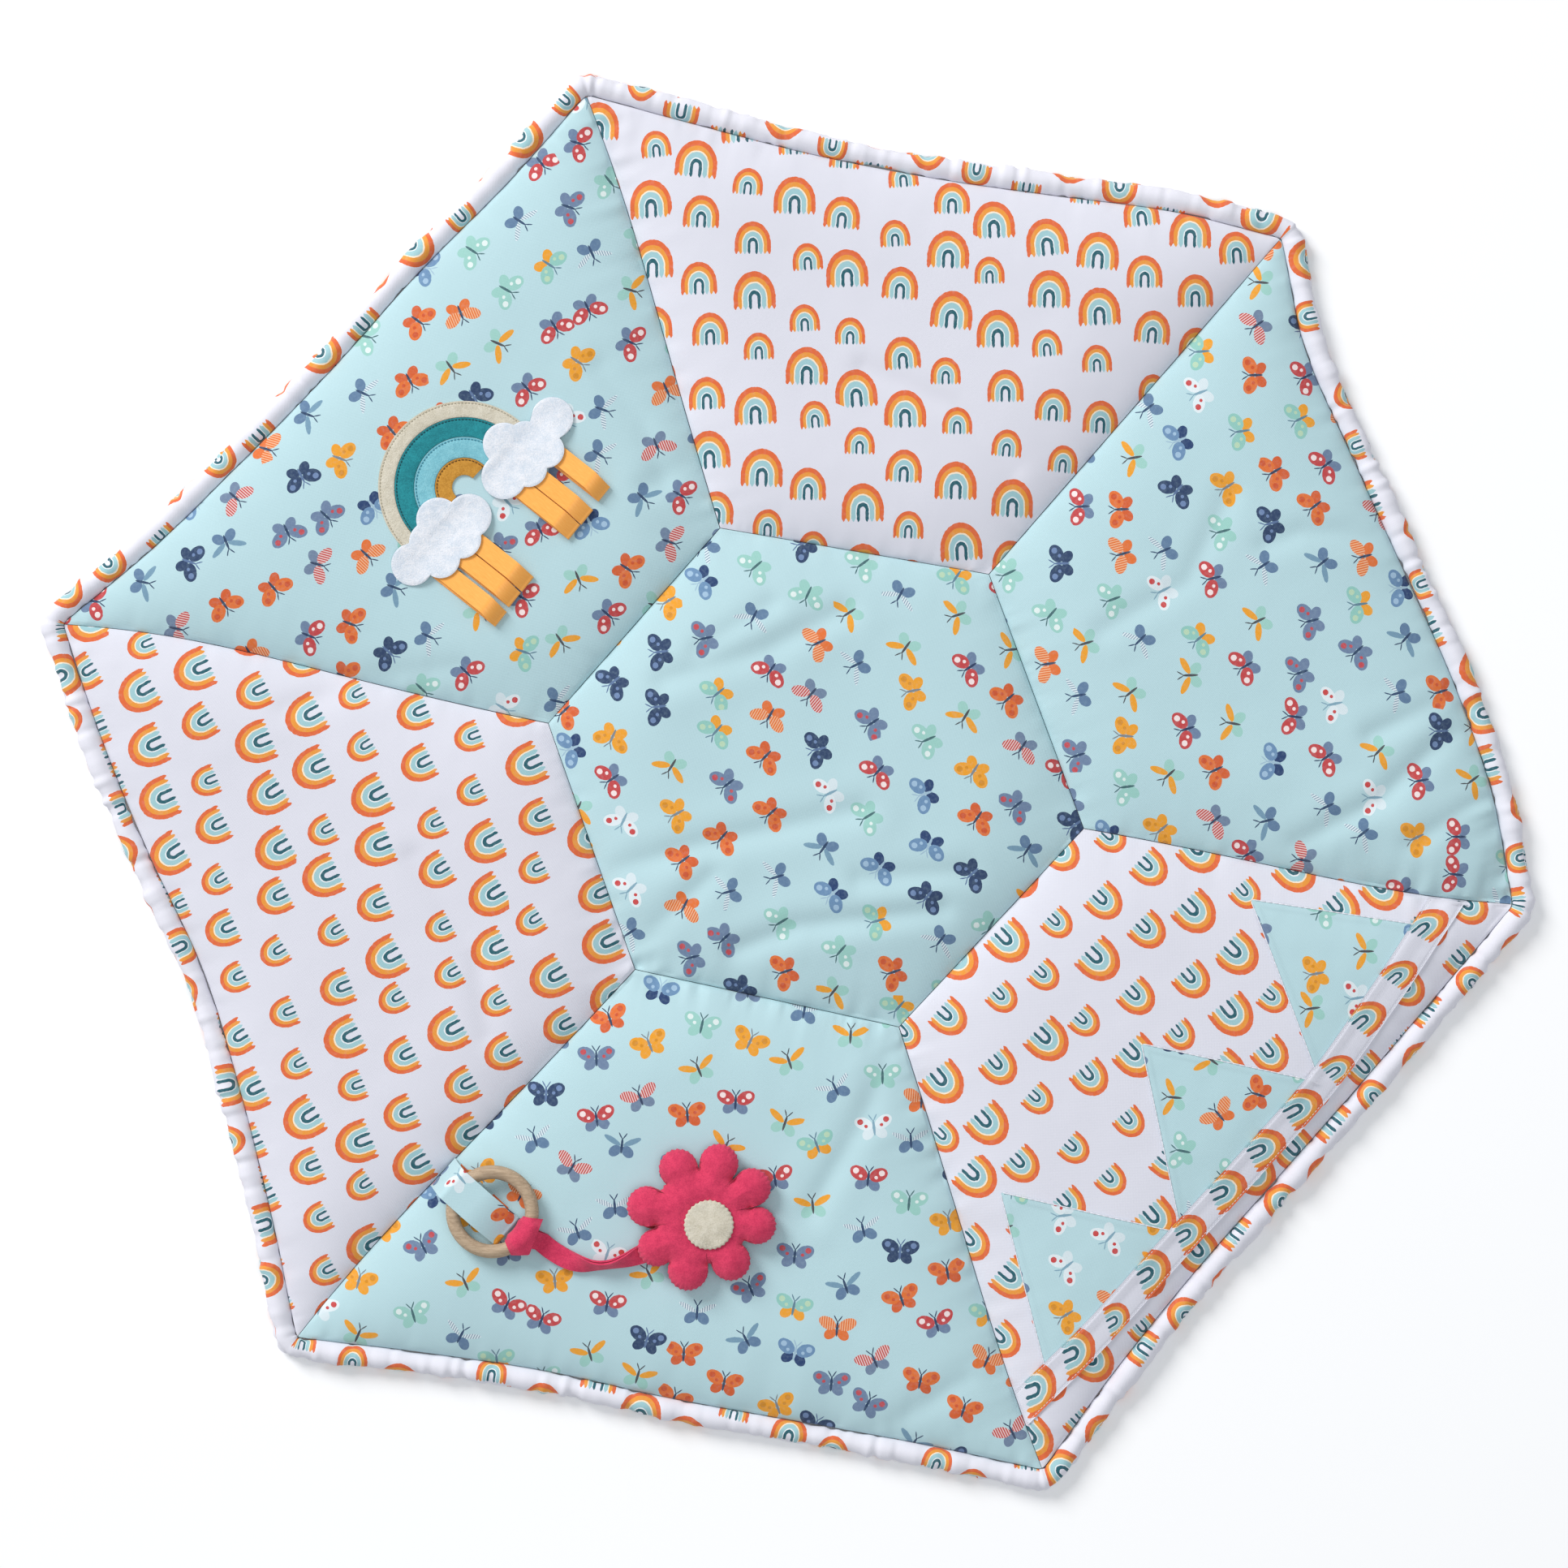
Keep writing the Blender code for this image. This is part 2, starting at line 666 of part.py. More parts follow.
def ring_level():
    """Height of the middle of the wooden ring, which lies level over the cloth under it."""
    under = FELT_THICK + STRAP_EASE + REST_GAP
    highest = 0.0
    for step in range(16):
        place = RING_CENTRE + direction(step * math.tau / 16) * RING_RADIUS
        highest = max(highest, top_of(["panel_bottom"], place.x, place.y))
    return highest + under + RING_SECTION


def build_ring():
    """The turned ring, round in section."""
    around, sides = 40, 10
    level = ring_level()
    points = []
    for a in range(around):
        out = direction(a * math.tau / around)
        for k in range(sides):
            turn = k * math.tau / sides
            place = RING_CENTRE + out * (RING_RADIUS + RING_SECTION * math.cos(turn))
            points.append((place.x, place.y, level + RING_SECTION * math.sin(turn)))
    faces = []
    for a in range(around):
        b = (a + 1) % around
        for k in range(sides):
            m = (k + 1) % sides
            faces.append((a * sides + k, b * sides + k, b * sides + m, a * sides + m))
    make_solid("wooden_ring", points, faces, "beech")


def build_ring_loop():
    """Cloth strip from the seam, over the ring, folded inside it and back under it."""
    run = direction(LOOP_DIRECTION)
    across = Vector((-run.y, run.x, 0.0)) * (LOOP_WIDTH / 2)
    over_ring = ring_level() + RING_SECTION + REST_GAP + CLOTH_THICK / 2
    ring_start = (RING_CENTRE - LOOP_START).length - RING_RADIUS - RING_SECTION
    ring_end = ring_start + 4 * RING_SECTION
    lower = []
    steps = 10
    for step in range(steps + 1):
        place = LOOP_START + run * (LOOP_LENGTH * step / steps)
        sides = [place + Vector((across.x, across.y)) * s for s in (-1, 0, 1)]
        height = max(rest_on(["panel_bottom"], p.x, p.y, NARROW_LOOK) for p in sides)
        lower.append(Vector((place.x, place.y, height + CLOTH_THICK / 2)))
    fold_radius = LOOP_FOLD_RADIUS
    centre = lower[-1] + Vector((0, 0, fold_radius))
    course = list(lower)
    for step in range(1, 6):
        turn = math.pi * step / 6
        out = run * math.sin(turn) * fold_radius
        course.append(centre + Vector((out.x, out.y, -math.cos(turn) * fold_radius)))
    fold_top = centre.z + fold_radius
    root_top = lower[0].z + CLOTH_THICK + REST_GAP
    for step in range(steps, -1, -1):
        along = LOOP_LENGTH * step / steps
        if along > ring_end:
            share = (LOOP_LENGTH - along) / (LOOP_LENGTH - ring_end)
            height = fold_top + (over_ring - fold_top) * math.sin(share * math.pi / 2)
        else:
            share = min(along / (ring_start - 2.0), 1.0)
            height = root_top + (over_ring - root_top) * share ** 0.8
        course.append(Vector((lower[step].x, lower[step].y, height)))
    strip_solid("ring_loop", folded_stations(course, across, CLOTH_THICK), "butterfly_cotton")


def build_felt_strap():
    """Felt strip doubled back on itself: round the ring at one end, under the flower at the other."""
    level = ring_level()
    out = direction(STRAP_AZIMUTH)
    across_ring = Vector((-out.y, out.x, 0.0))
    core = RING_CENTRE + out * RING_RADIUS
    around_radius = RING_SECTION + STRAP_EASE + FELT_THICK / 2
    layer = (FELT_THICK + STRAP_LAYER_GAP) / 2
    columns = list(zip(*STRAP_COURSE))
    fine = [i / STRAP_STEPS for i in range((len(STRAP_COURSE) - 1) * STRAP_STEPS + 1)]
    course = [[smooth_between(column, place) for column in columns] for place in fine]
    places = [Vector(row[:2]) for row in course]
    lower, upper = [], []
    for i, (x, y, turn) in enumerate(course):
        ahead = places[min(i + 1, len(places) - 1)]
        behind = places[max(i - 1, 0)]
        tangent = Vector((*(ahead - behind).normalized(), 0.0))
        flat = Vector((-tangent.y, tangent.x, 0.0))
        roll = math.radians(turn)
        width = STRAP_WIDTH + (STRAP_TWISTED_WIDTH - STRAP_WIDTH) * math.sin(roll)
        across = flat * math.cos(roll) + Vector((0, 0, math.sin(roll)))
        through = tangent.cross(across)
        half = width / 2
        edges = [Vector((x, y)) + Vector((across.x, across.y)) * s * half for s in (-1, 0, 1)]
        floor = max(rest_on(["panel_bottom"], p.x, p.y, NARROW_LOOK) for p in edges)
        height = floor + half * math.sin(roll) + (FELT_THICK + layer) * math.cos(roll)
        lower.append((Vector((x, y, height)) - through * layer, across * half, through * (-FELT_THICK / 2)))
        upper.append((Vector((x, y, height)) + through * layer, across * half, through * (FELT_THICK / 2)))
    stations = list(reversed(lower))
    half = STRAP_WIDTH / 2
    for step in range(1, 12):
        turn = math.radians(-60 - 20 * step)
        away = Vector((*(out * math.cos(turn)), math.sin(turn)))
        place = Vector((core.x, core.y, level)) + away * around_radius
        stations.append((place, across_ring * half, away * (FELT_THICK / 2)))
    stations += upper
    strip_solid("felt_strap", stations, "red_felt")


def build_flower():
    """Stuffed flower: lobed outline, round over its top and under it."""
    lobes = []
    for degrees, distance, radius in PETALS:
        place = FLOWER_CENTRE + direction(math.radians(degrees)) * distance
        lobes.append((place.x, place.y, radius))
    lobes.append((FLOWER_CENTRE.x, FLOWER_CENTRE.y, FLOWER_BODY_RADIUS))
    outline = lobed_outline(FLOWER_CENTRE, lobes, 64)
    rings = [[FLOWER_CENTRE.lerp(p, size) for p in outline] for size in FLOWER_RING_SIZES]
    reaches = {}
    for ring, size in zip(rings, FLOWER_RING_SIZES):
        for place in ring:
            reaches[place.freeze()] = size
    middle = FLOWER_CENTRE.copy().freeze()
    reaches[middle] = 0.0
    floor = max(rest_on(["panel_bottom"], p.x, p.y) for ring in rings for p in ring)
    edge_top = FLOWER_EDGE_SHARE + FLOWER_EDGE_THICK_SHARE

    def stuffing(point):
        return (1 - reaches[point] ** 2.4) ** 0.55

    points, faces = close_rings(
        rings,
        middle,
        lambda p: floor + FLOWER_THICK * (edge_top + (1 - edge_top) * stuffing(p)),
        lambda p: floor + FLOWER_THICK * FLOWER_EDGE_SHARE * (1 - stuffing(p)),
    )
    make_solid("flower", points, faces, "red_felt")


def build_flower_disc():
    """Padded felt disc on the flower, slightly domed."""
    sizes = (1.0, 0.86, 0.5)
    rings = [[DISC_CENTRE + direction(i * math.tau / 28) * DISC_RADIUS * size for i in range(28)]
             for size in sizes]

    def lower(p):
        return rest_on(["flower"], p.x, p.y, DISC_LOOK)

    def upper(p):
        reach = min((p - DISC_CENTRE).length / DISC_RADIUS, 1.0)
        return lower(p) + FELT_THICK + DISC_DOME * (1 - reach ** 2) ** 0.6

    points, faces = close_rings(rings, DISC_CENTRE, upper, lower)
    make_solid("flower_disc", points, faces, "cream_felt")


def build_pennants():
    """Three cloth triangles whose bases run under the tape."""
    steps = 8
    for name, *spots in PENNANTS:
        point, upper, lower = (Vector(spots[i:i + 2]) for i in (0, 2, 4))
        upper += TAPE_OUTWARD * TAPE_TUCK
        lower += TAPE_OUTWARD * TAPE_TUCK
        rows = []
        for step in range(steps + 1):
            share = 0.02 + 0.98 * step / steps
            left = point.lerp(upper, share)
            right = point.lerp(lower, share)
            rows.append([left.lerp(right, c / steps) for c in range(steps + 1)])
        points, faces = close_grid(
            rows,
            lambda p: rest_on(["panel_lower_right"], p.x, p.y, PENNANT_LOOK) + CLOTH_THICK,
            lambda p: rest_on(["panel_lower_right"], p.x, p.y, PENNANT_LOOK),
        )
        make_solid(name, points, faces, "butterfly_cotton")


def build_pennant_tape():
    """Folded tape over the pennants' bases, from seam to seam."""
    along = (TAPE_END - TAPE_START).normalized()
    out = Vector((along.y, -along.x))
    lower_seam = CORNER_NAMES.index("bottom")
    upper_seam = CORNER_NAMES.index("right")
    below = ["panel_lower_right"] + [row[0] for row in PENNANTS]
    steps = 50
    rows = []
    for across in (3, 2, 1, 0):
        line = TAPE_START + out * (TAPE_WIDTH * across / 3)
        start = seam_crossing(line, along, lower_seam) + along * TAPE_END_GAP
        end = seam_crossing(line, along, upper_seam) - along * TAPE_END_GAP
        row = []
        for i in range(steps + 1):
            share = i / steps
            bow = smooth_between(TAPE_BOWS, share * (len(TAPE_BOWS) - 1))
            row.append(start.lerp(end, share) + out * bow)
        rows.append(row)
    points, faces = close_grid(
        rows,
        lambda p: rest_on(below, p.x, p.y, TAPE_LOOK) + CLOTH_THICK,
        lambda p: rest_on(below, p.x, p.y, TAPE_LOOK),
    )
    make_solid("pennant_tape", points, faces, "rainbow_cotton")


def centre_on_origin():
    """Bring the middle of the whole mat's outline over the origin."""
    corners = [Vector(c) for thing in bpy.data.objects for c in thing.bound_box]
    lowest = Vector((min(c.x for c in corners), min(c.y for c in corners), 0.0))
    highest = Vector((max(c.x for c in corners), max(c.y for c in corners), 0.0))
    for thing in bpy.data.objects:
        thing.location = -(lowest + highest) / 2


def main():
    clear_scene()
    build_backing()
    build_binding()
    build_centre_panel()
    for index in range(len(SIDES)):
        build_outer_panel(index)
    build_bands()
    build_ribbons()
    build_clouds()
    build_ring()
    build_ring_loop()
    build_felt_strap()
    build_flower()
    build_flower_disc()
    build_pennants()
    build_pennant_tape()
    centre_on_origin()


main()
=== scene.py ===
# %% [markdown]
# # A padded play mat
#
# The real thing is a baby's floor mat: six puffed cotton panels sewn round a hexagon, a rolled
# binding, and toys of felt, ribbon and wood sewn on top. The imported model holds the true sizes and
# places of all these pieces. This script keeps them and gives each piece its cloth: fine puffed
# shapes, printed cotton, felt, satin and beech, under soft light from the upper left.
#
# The frame comes first, because every later piece is placed by it.

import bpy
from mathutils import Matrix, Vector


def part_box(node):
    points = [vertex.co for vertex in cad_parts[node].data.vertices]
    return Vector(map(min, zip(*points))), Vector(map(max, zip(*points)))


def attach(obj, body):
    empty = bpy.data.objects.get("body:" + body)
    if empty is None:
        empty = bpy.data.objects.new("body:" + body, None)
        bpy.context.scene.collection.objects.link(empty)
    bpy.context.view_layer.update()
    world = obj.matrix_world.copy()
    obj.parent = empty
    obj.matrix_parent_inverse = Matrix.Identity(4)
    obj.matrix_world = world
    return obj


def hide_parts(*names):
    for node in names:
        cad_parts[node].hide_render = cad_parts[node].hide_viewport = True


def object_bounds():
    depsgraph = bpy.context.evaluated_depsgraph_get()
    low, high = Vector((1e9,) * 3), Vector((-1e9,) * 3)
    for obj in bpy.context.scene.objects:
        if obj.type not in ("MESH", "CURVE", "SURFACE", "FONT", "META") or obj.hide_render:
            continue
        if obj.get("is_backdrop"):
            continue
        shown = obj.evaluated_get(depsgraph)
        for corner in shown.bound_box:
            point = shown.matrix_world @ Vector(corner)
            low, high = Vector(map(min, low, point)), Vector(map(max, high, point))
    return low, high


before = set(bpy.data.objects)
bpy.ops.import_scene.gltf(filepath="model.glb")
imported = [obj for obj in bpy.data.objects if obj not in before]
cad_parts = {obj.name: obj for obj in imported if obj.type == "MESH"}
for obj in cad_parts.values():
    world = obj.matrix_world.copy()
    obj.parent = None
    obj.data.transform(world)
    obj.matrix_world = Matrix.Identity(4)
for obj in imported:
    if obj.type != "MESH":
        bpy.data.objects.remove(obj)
cad_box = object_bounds()
print("solids in the frame:", len(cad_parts))

# %% [markdown]
# ## Plan coordinates
#
# A pattern maker draws on a flat plan. Here the plan is in millimetres, seen from above, and its
# zero lies close to the middle of the mat. The wooden ring's middle is known both on the plan and in
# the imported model, so it tells how far the plan has to be moved to lie on the model.

# %% Place the plan on the model
import math
from itertools import pairwise

import bpy
import numpy as np
from mathutils import Vector
from mathutils.bvhtree import BVHTree

MM = 0.001
RING_CENTRE = np.array((-235.9, -341.5))
ring_low, ring_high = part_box("wooden_ring")
PLAN_SHIFT = np.array((ring_low.x + ring_high.x, ring_low.y + ring_high.y)) / 2 / MM - RING_CENTRE
print("the plan moves by", PLAN_SHIFT.round(2), "mm")


def direction(angle):
    """Unit vector on the plan."""
    return np.array((math.cos(angle), math.sin(angle)))


def smooth_between(values, place):
    """Read a row of values at places along it, through a Catmull-Rom curve."""
    values = np.asarray(values, float)
    last = len(values) - 1
    place = np.clip(np.asarray(place, float), 0, last)
    left = np.minimum(place.astype(int), last - 1)
    f = place - left
    before = values[np.maximum(left - 1, 0)]
    start = values[left]
    end = values[left + 1]
    after = values[np.minimum(left + 2, last)]
    slope = (end - before) * f + (2 * before - 5 * start + 4 * end - after) * f * f
    return start + 0.5 * (slope + (3 * start - before - 3 * end + after) * f ** 3)


def soft_noise(x, y, pitch, seed):
    """Smooth uneven values from -1 to 1 over the plan, with features about one pitch across."""
    knots = np.random.default_rng(seed).uniform(-1, 1, (128, 128))
    gx = np.asarray(x, float) / pitch + 640.0
    gy = np.asarray(y, float) / pitch + 640.0
    ix = np.floor(gx).astype(int)
    iy = np.floor(gy).astype(int)
    fx = gx - ix
    fy = gy - iy
    fx = fx * fx * (3 - 2 * fx)
    fy = fy * fy * (3 - 2 * fy)
    near = knots[ix % 128, iy % 128] * (1 - fx) + knots[(ix + 1) % 128, iy % 128] * fx
    far = knots[ix % 128, (iy + 1) % 128] * (1 - fx) + knots[(ix + 1) % 128, (iy + 1) % 128] * fx
    return near * (1 - fy) + far * fy


# %% [markdown]
# ## Light and camera
#
# The photograph looks straight down on the mat from far away, with soft light from the upper left
# that darkens the upper left side of every seam and leaves the other side bright. A long lens high
# above gives that view. One large lamp, low and far away at the upper left, gives the relief. A
# weaker lamp overhead and a pale world keep the shaded folds open. The picture is shown without a
# film curve, as product photographs on white are.

# %% Camera and lamps
PHOTO_WIDTH = 1932
PHOTO_MIDDLE_ON_PLAN = np.array((-3.9, -1.3))
MM_PER_PHOTO_STEP = 0.648
LENS = 120.0
SENSOR = 36.0
SHARP_LEVEL = 18.0

view_width = PHOTO_WIDTH * MM_PER_PHOTO_STEP
camera_height = view_width / 2 / (SENSOR / 2 / LENS) + SHARP_LEVEL
camera_data = bpy.data.cameras.new("camera")
camera_data.lens = LENS
camera_data.sensor_width = SENSOR
camera_data.clip_end = 50.0
camera = bpy.data.objects.new("camera", camera_data)
camera.location = (*(PHOTO_MIDDLE_ON_PLAN + PLAN_SHIFT) * MM, camera_height * MM)
bpy.context.scene.collection.objects.link(camera)
bpy.context.scene.camera = camera
bpy.context.scene.view_settings.view_transform = "Standard"
print("camera height", round(camera_height * MM, 2), "m")

LAMPS = (
    # name, place in metres, width in metres, power in watts, colour
    ("window_lamp", (-5.6, 5.9, 5.2), 4.4, 770.0, (1.0, 0.99, 0.98)),
    ("ceiling_lamp", (0.5, -0.5, 4.4), 3.0, 48.0, (0.97, 0.985, 1.0)),
)
for name, place, width, power, colour in LAMPS:
    lamp_data = bpy.data.lights.new(name, "AREA")
    lamp_data.shape = "DISK"
    lamp_data.size = width
    lamp_data.energy = power
    lamp_data.color = colour
    lamp = bpy.data.objects.new(name, lamp_data)
    lamp.location = place
    lamp.rotation_euler = Vector(place).to_track_quat("Z", "Y").to_euler()
    bpy.context.scene.collection.objects.link(lamp)

WORLD_COLOUR = (0.92, 0.96, 1.0, 1.0)
WORLD_STRENGTH = 0.43
world = bpy.data.worlds.new("pale_room")
world.use_nodes = True
background = world.node_tree.nodes["Background"]
background.inputs["Color"].default_value = WORLD_COLOUR
background.inputs["Strength"].default_value = WORLD_STRENGTH
bpy.context.scene.world = world

# %% [markdown]
# ## One function for every shader node
#
# Each finish below is built from nodes by the same small function. It adds one node, sets its
# properties, and feeds its inputs in order from numbers or from other nodes. A colour ramp's stops
# count as settings too. Colours are written as on a paint card, in sRGB hex, and are turned to the
# linear values that the renderer works in.


# %% Node and colour helpers
def linear(hex_colour, alpha=1.0):
    """Turn an sRGB hex colour into linear RGBA."""
    channels = [int(hex_colour[i:i + 2], 16) / 255 for i in (0, 2, 4)]
    return (*[c / 12.92 if c <= 0.04045 else ((c + 0.055) / 1.055) ** 2.4 for c in channels], alpha)


def add(tree, kind, *feeds, pick=0, stops=(), **settings):
    """Add one node with its settings, feed its inputs in order, and give the picked output."""
    made = tree.nodes.new("ShaderNode" + kind)
    for name, value in settings.items():
        setattr(made, name, value)
    for socket, feed in zip(made.inputs, feeds):
        if isinstance(feed, bpy.types.NodeSocket):
            tree.links.new(feed, socket)
        elif feed is not None:
            socket.default_value = feed
    for number, (place, paint, alpha, hold) in enumerate(stops):
        made.color_ramp.interpolation = hold
        elements = made.color_ramp.elements
        element = elements[number] if number < 2 else elements.new(place)
        element.position = place
        element.color = linear(paint, alpha)
    return made.outputs[pick]


def new_finish(name, roughness, sheen=0.0):
    """Start a finish: its material, its node tree and its main shader."""
    finish = bpy.data.materials.new(name)
    finish.use_nodes = True
    tree = finish.node_tree
    shader = tree.nodes["Principled BSDF"]
    shader.inputs["Roughness"].default_value = roughness
    shader.inputs["Specular IOR Level"].default_value = 0.3
    shader.inputs["Sheen Weight"].default_value = sheen
    shader.inputs["Sheen Roughness"].default_value = 0.6
    return finish, tree, shader


def two_tones(dark, light, low=0.3, high=0.7):
    """Stops of a ramp from a dark tone to a light one."""
    return [(low, dark, 1, "LINEAR"), (high, light, 1, "LINEAR")]


def colour_and_relief(tree, shader, colour, height=None, strength=1.0, depth=0.0):
    """Feed a finish its colour and, where it has one, its relief; the depth is in metres."""
    tree.links.new(colour, shader.inputs["Base Color"])
    if height is not None:
        bump = add(tree, "Bump", strength, depth, None, height)
        tree.links.new(bump, shader.inputs["Normal"])


# %% [markdown]
# ## The floor
#
# The mat lies on a plain white studio floor. It is matte, with the faintest unevenness, so that it
# only catches the mat's soft shadow.

# %% Studio floor
floor_finish, tree, shader = new_finish("matte_white_floor", 0.9)
cloudy = add(tree, "TexNoise", None, None, 1.5)
white = add(tree, "ValToRGB", cloudy, stops=two_tones("FCFCFD", "FEFEFE", 0.0, 1.0))
colour_and_relief(tree, shader, white)
FLOOR_REACH = 20.0
FLOOR_DROP = 0.0005
corners = [(x * FLOOR_REACH, y * FLOOR_REACH, -FLOOR_DROP) for x, y in ((-1, -1), (1, -1), (1, 1), (-1, 1))]
floor_mesh = bpy.data.meshes.new("floor")
floor_mesh.from_pydata(corners, [], [(0, 1, 2, 3)])
floor_mesh.materials.append(floor_finish)
floor = bpy.data.objects.new("floor", floor_mesh)
bpy.context.scene.collection.objects.link(floor)
floor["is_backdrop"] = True

# %% [markdown]
# ## Printed cotton: where each motif goes
#
# Both cottons are plain-woven quilting cotton with a small scattered print. A print on cloth repeats,
# but to the eye its motifs are strewn. So the cloth is split into places in slanting rows, the rows
# drift to and fro, and each motif strays a little in its own place by random numbers. All this is
# reckoned on the flat cloth's own coordinates in millimetres, which every piece carries as its UV
# map, so the print follows the cloth and is cut at the seams.

# %% Places for a print
DRIFT_PITCH = 75.0
LAYOUTS = {
    # print: place's width, place's height, slide from row to row, slant of the rows in degrees, drift in mm
    "rainbow": (42.5, 42.0, 0.41, 20.0, 4.0),
    "butterfly": (40.5, 40.0, 0.37, 31.0, 6.0),
    "tape": (90.0, 43.0, 0.0, 0.0, 0.0),
}


def drift_at(tree, place, drift):
    """How far the rows of a print have drifted at a place."""
    noise = add(tree, "TexNoise", place, None, 1 / DRIFT_PITCH, 0.0, pick=1)
    noise = add(tree, "VectorMath", noise, (0.5, 0.5, 0.5), operation="SUBTRACT")
    return add(tree, "VectorMath", noise, (4 * drift, 4 * drift, 0.0), operation="MULTIPLY")


def turned(tree, vector, angle):
    """Turn a vector on the cloth."""
    return add(tree, "VectorRotate", vector, None, None, angle, rotation_type="Z_AXIS")


def print_places(tree, layout, stray, size_steps, lean, seed):
    """Split the cloth into places: the spot within a place in mm, a size step, and a random colour."""
    wide, tall, row_slide, slant, drift = LAYOUTS[layout]
    slant = math.radians(slant)
    cloth = add(tree, "UVMap", uv_map="cloth")
    drifted = add(tree, "VectorMath", cloth, drift_at(tree, cloth, drift), operation="ADD")
    drifted = turned(tree, drifted, slant)
    row = add(tree, "SeparateXYZ", drifted, pick=1)
    row = add(tree, "Math", row, tall, operation="DIVIDE")
    row = add(tree, "Math", row, operation="FLOOR")
    slide = add(tree, "Math", row, row_slide * wide, operation="MULTIPLY")
    slide = add(tree, "CombineXYZ", slide, 0.0, 0.0)
    place = add(tree, "VectorMath", drifted, slide, operation="ADD")
    place = add(tree, "VectorMath", place, (wide, tall, 1.0), operation="DIVIDE")
    place = add(tree, "VectorMath", place, operation="FLOOR")
    middle = add(tree, "VectorMath", place, (0.5, 0.5, 0.0), operation="ADD")
    middle = add(tree, "VectorMath", middle, (wide, tall, 1.0), operation="MULTIPLY")
    middle = add(tree, "VectorMath", middle, slide, operation="SUBTRACT")
    middle = turned(tree, middle, -slant)
    middle = add(tree, "VectorMath", middle, drift_at(tree, middle, drift), operation="SUBTRACT")
    chance = add(tree, "VectorMath", place, (0.0, 0.0, seed), operation="ADD")
    chance = add(tree, "TexWhiteNoise", chance, noise_dimensions="3D", pick=1)
    other = add(tree, "VectorMath", place, (0.0, 0.0, seed + 7.0), operation="ADD")
    other = add(tree, "TexWhiteNoise", other, noise_dimensions="3D", pick=1)
    step = add(tree, "SeparateXYZ", chance, pick=2)
    step = add(tree, "Math", step, float(size_steps), operation="MULTIPLY")
    step = add(tree, "Math", step, operation="FLOOR")
    room = add(tree, "Math", step, 2 * stray[1], 2 * stray[0], operation="MULTIPLY_ADD")
    move = add(tree, "VectorMath", chance, (0.5, 0.5, 0.5), operation="SUBTRACT")
    move = add(tree, "VectorMath", move, (1.0, 1.0, 0.0), operation="MULTIPLY")
    move = add(tree, "VectorMath", move, None, None, room, operation="SCALE")
    spot = add(tree, "VectorMath", cloth, middle, operation="SUBTRACT")
    spot = add(tree, "VectorMath", spot, move, operation="SUBTRACT")
    turn = add(tree, "SeparateXYZ", other, pick=2)
    turn = add(tree, "Math", turn, math.radians(2 * lean[1]), math.radians(lean[0] - lean[1]),
               operation="MULTIPLY_ADD")
    return cloth, turned(tree, spot, turn), step, other


# %% [markdown]
# ## The weave
#
# Quilting cotton has about thirty threads to the centimetre, which is too fine to show from four
# metres. The weave here is drawn about four times coarser, at 1.3 mm, as a very shallow bump, with
# slightly uneven threads. It breaks the light just enough for the cloth not to look like plastic.

# %% Weave relief
THREAD_PITCH_DRAWN = 1.3
WEAVE_DEPTH = 0.00006
SLUBS_PER_MM = 0.45
SLUB_SHARE = 1.6


def woven(tree, cloth, shader, colour):
    """Give a cotton its colour and its woven relief."""
    turns = math.tau / THREAD_PITCH_DRAWN
    threads = add(tree, "VectorMath", cloth, (turns, turns, 0.0), operation="MULTIPLY")
    threads = add(tree, "VectorMath", threads, operation="SINE")
    along = add(tree, "SeparateXYZ", threads)
    grid = add(tree, "Math", along, along.node.outputs[1], operation="MULTIPLY")
    slub = add(tree, "TexNoise", cloth, None, SLUBS_PER_MM, 3.0, 0.6)
    height = add(tree, "Math", slub, SLUB_SHARE, grid, operation="MULTIPLY_ADD")
    colour_and_relief(tree, shader, colour, height, 0.8, WEAVE_DEPTH)


# %% [markdown]
# ## Rainbow print
#
# A scattered rainbow is an ordinary nursery motif. This one is drawn from scratch: every arch is the
# same nest of half ellipses on short legs, in three sizes. The distance from the arch's middle,
# measured in half widths, runs through a ramp with hard steps, one step for each painted stripe. Each
# stripe's two ends are rounded. Soft noise wobbles the edges and thins the paint, as a brush does.

# %% Rainbow cotton
RAINBOW_STRAY = (0.8, 2.3)
RAINBOW_LEAN = (0.0, 6.0)
RAINBOW_HALF_WIDTH = 17.0
RAINBOW_SIZE_STEP = 2.4
ARCH_RISE = 1.26
LEG_TOP = -0.40
LEG_END = -0.86
LEG_ROUNDING = 0.08
STRIPE_MIDDLE = 0.2
STRIPE_PITCH = 0.235
RAINBOW_BRUSH_PER_MM = 0.3
BRUSH_WOBBLE = 0.06
FOOT_WOBBLE = 0.8
RAINBOW_THINNING = (-0.3, 1.14)
STRIPES = (
    # where it starts in half widths, paint, 1 where it is painted
    (0.0, "DADAE4", 0),
    (0.13, "245C68", 1),
    (0.28, "E3E9EC", 1),
    (0.33, "9DC5CB", 1),
    (0.54, "F3E3CB", 1),
    (0.60, "E6963B", 1),
    (0.785, "DD683A", 1),
    (0.985, "DADAE4", 0),
)


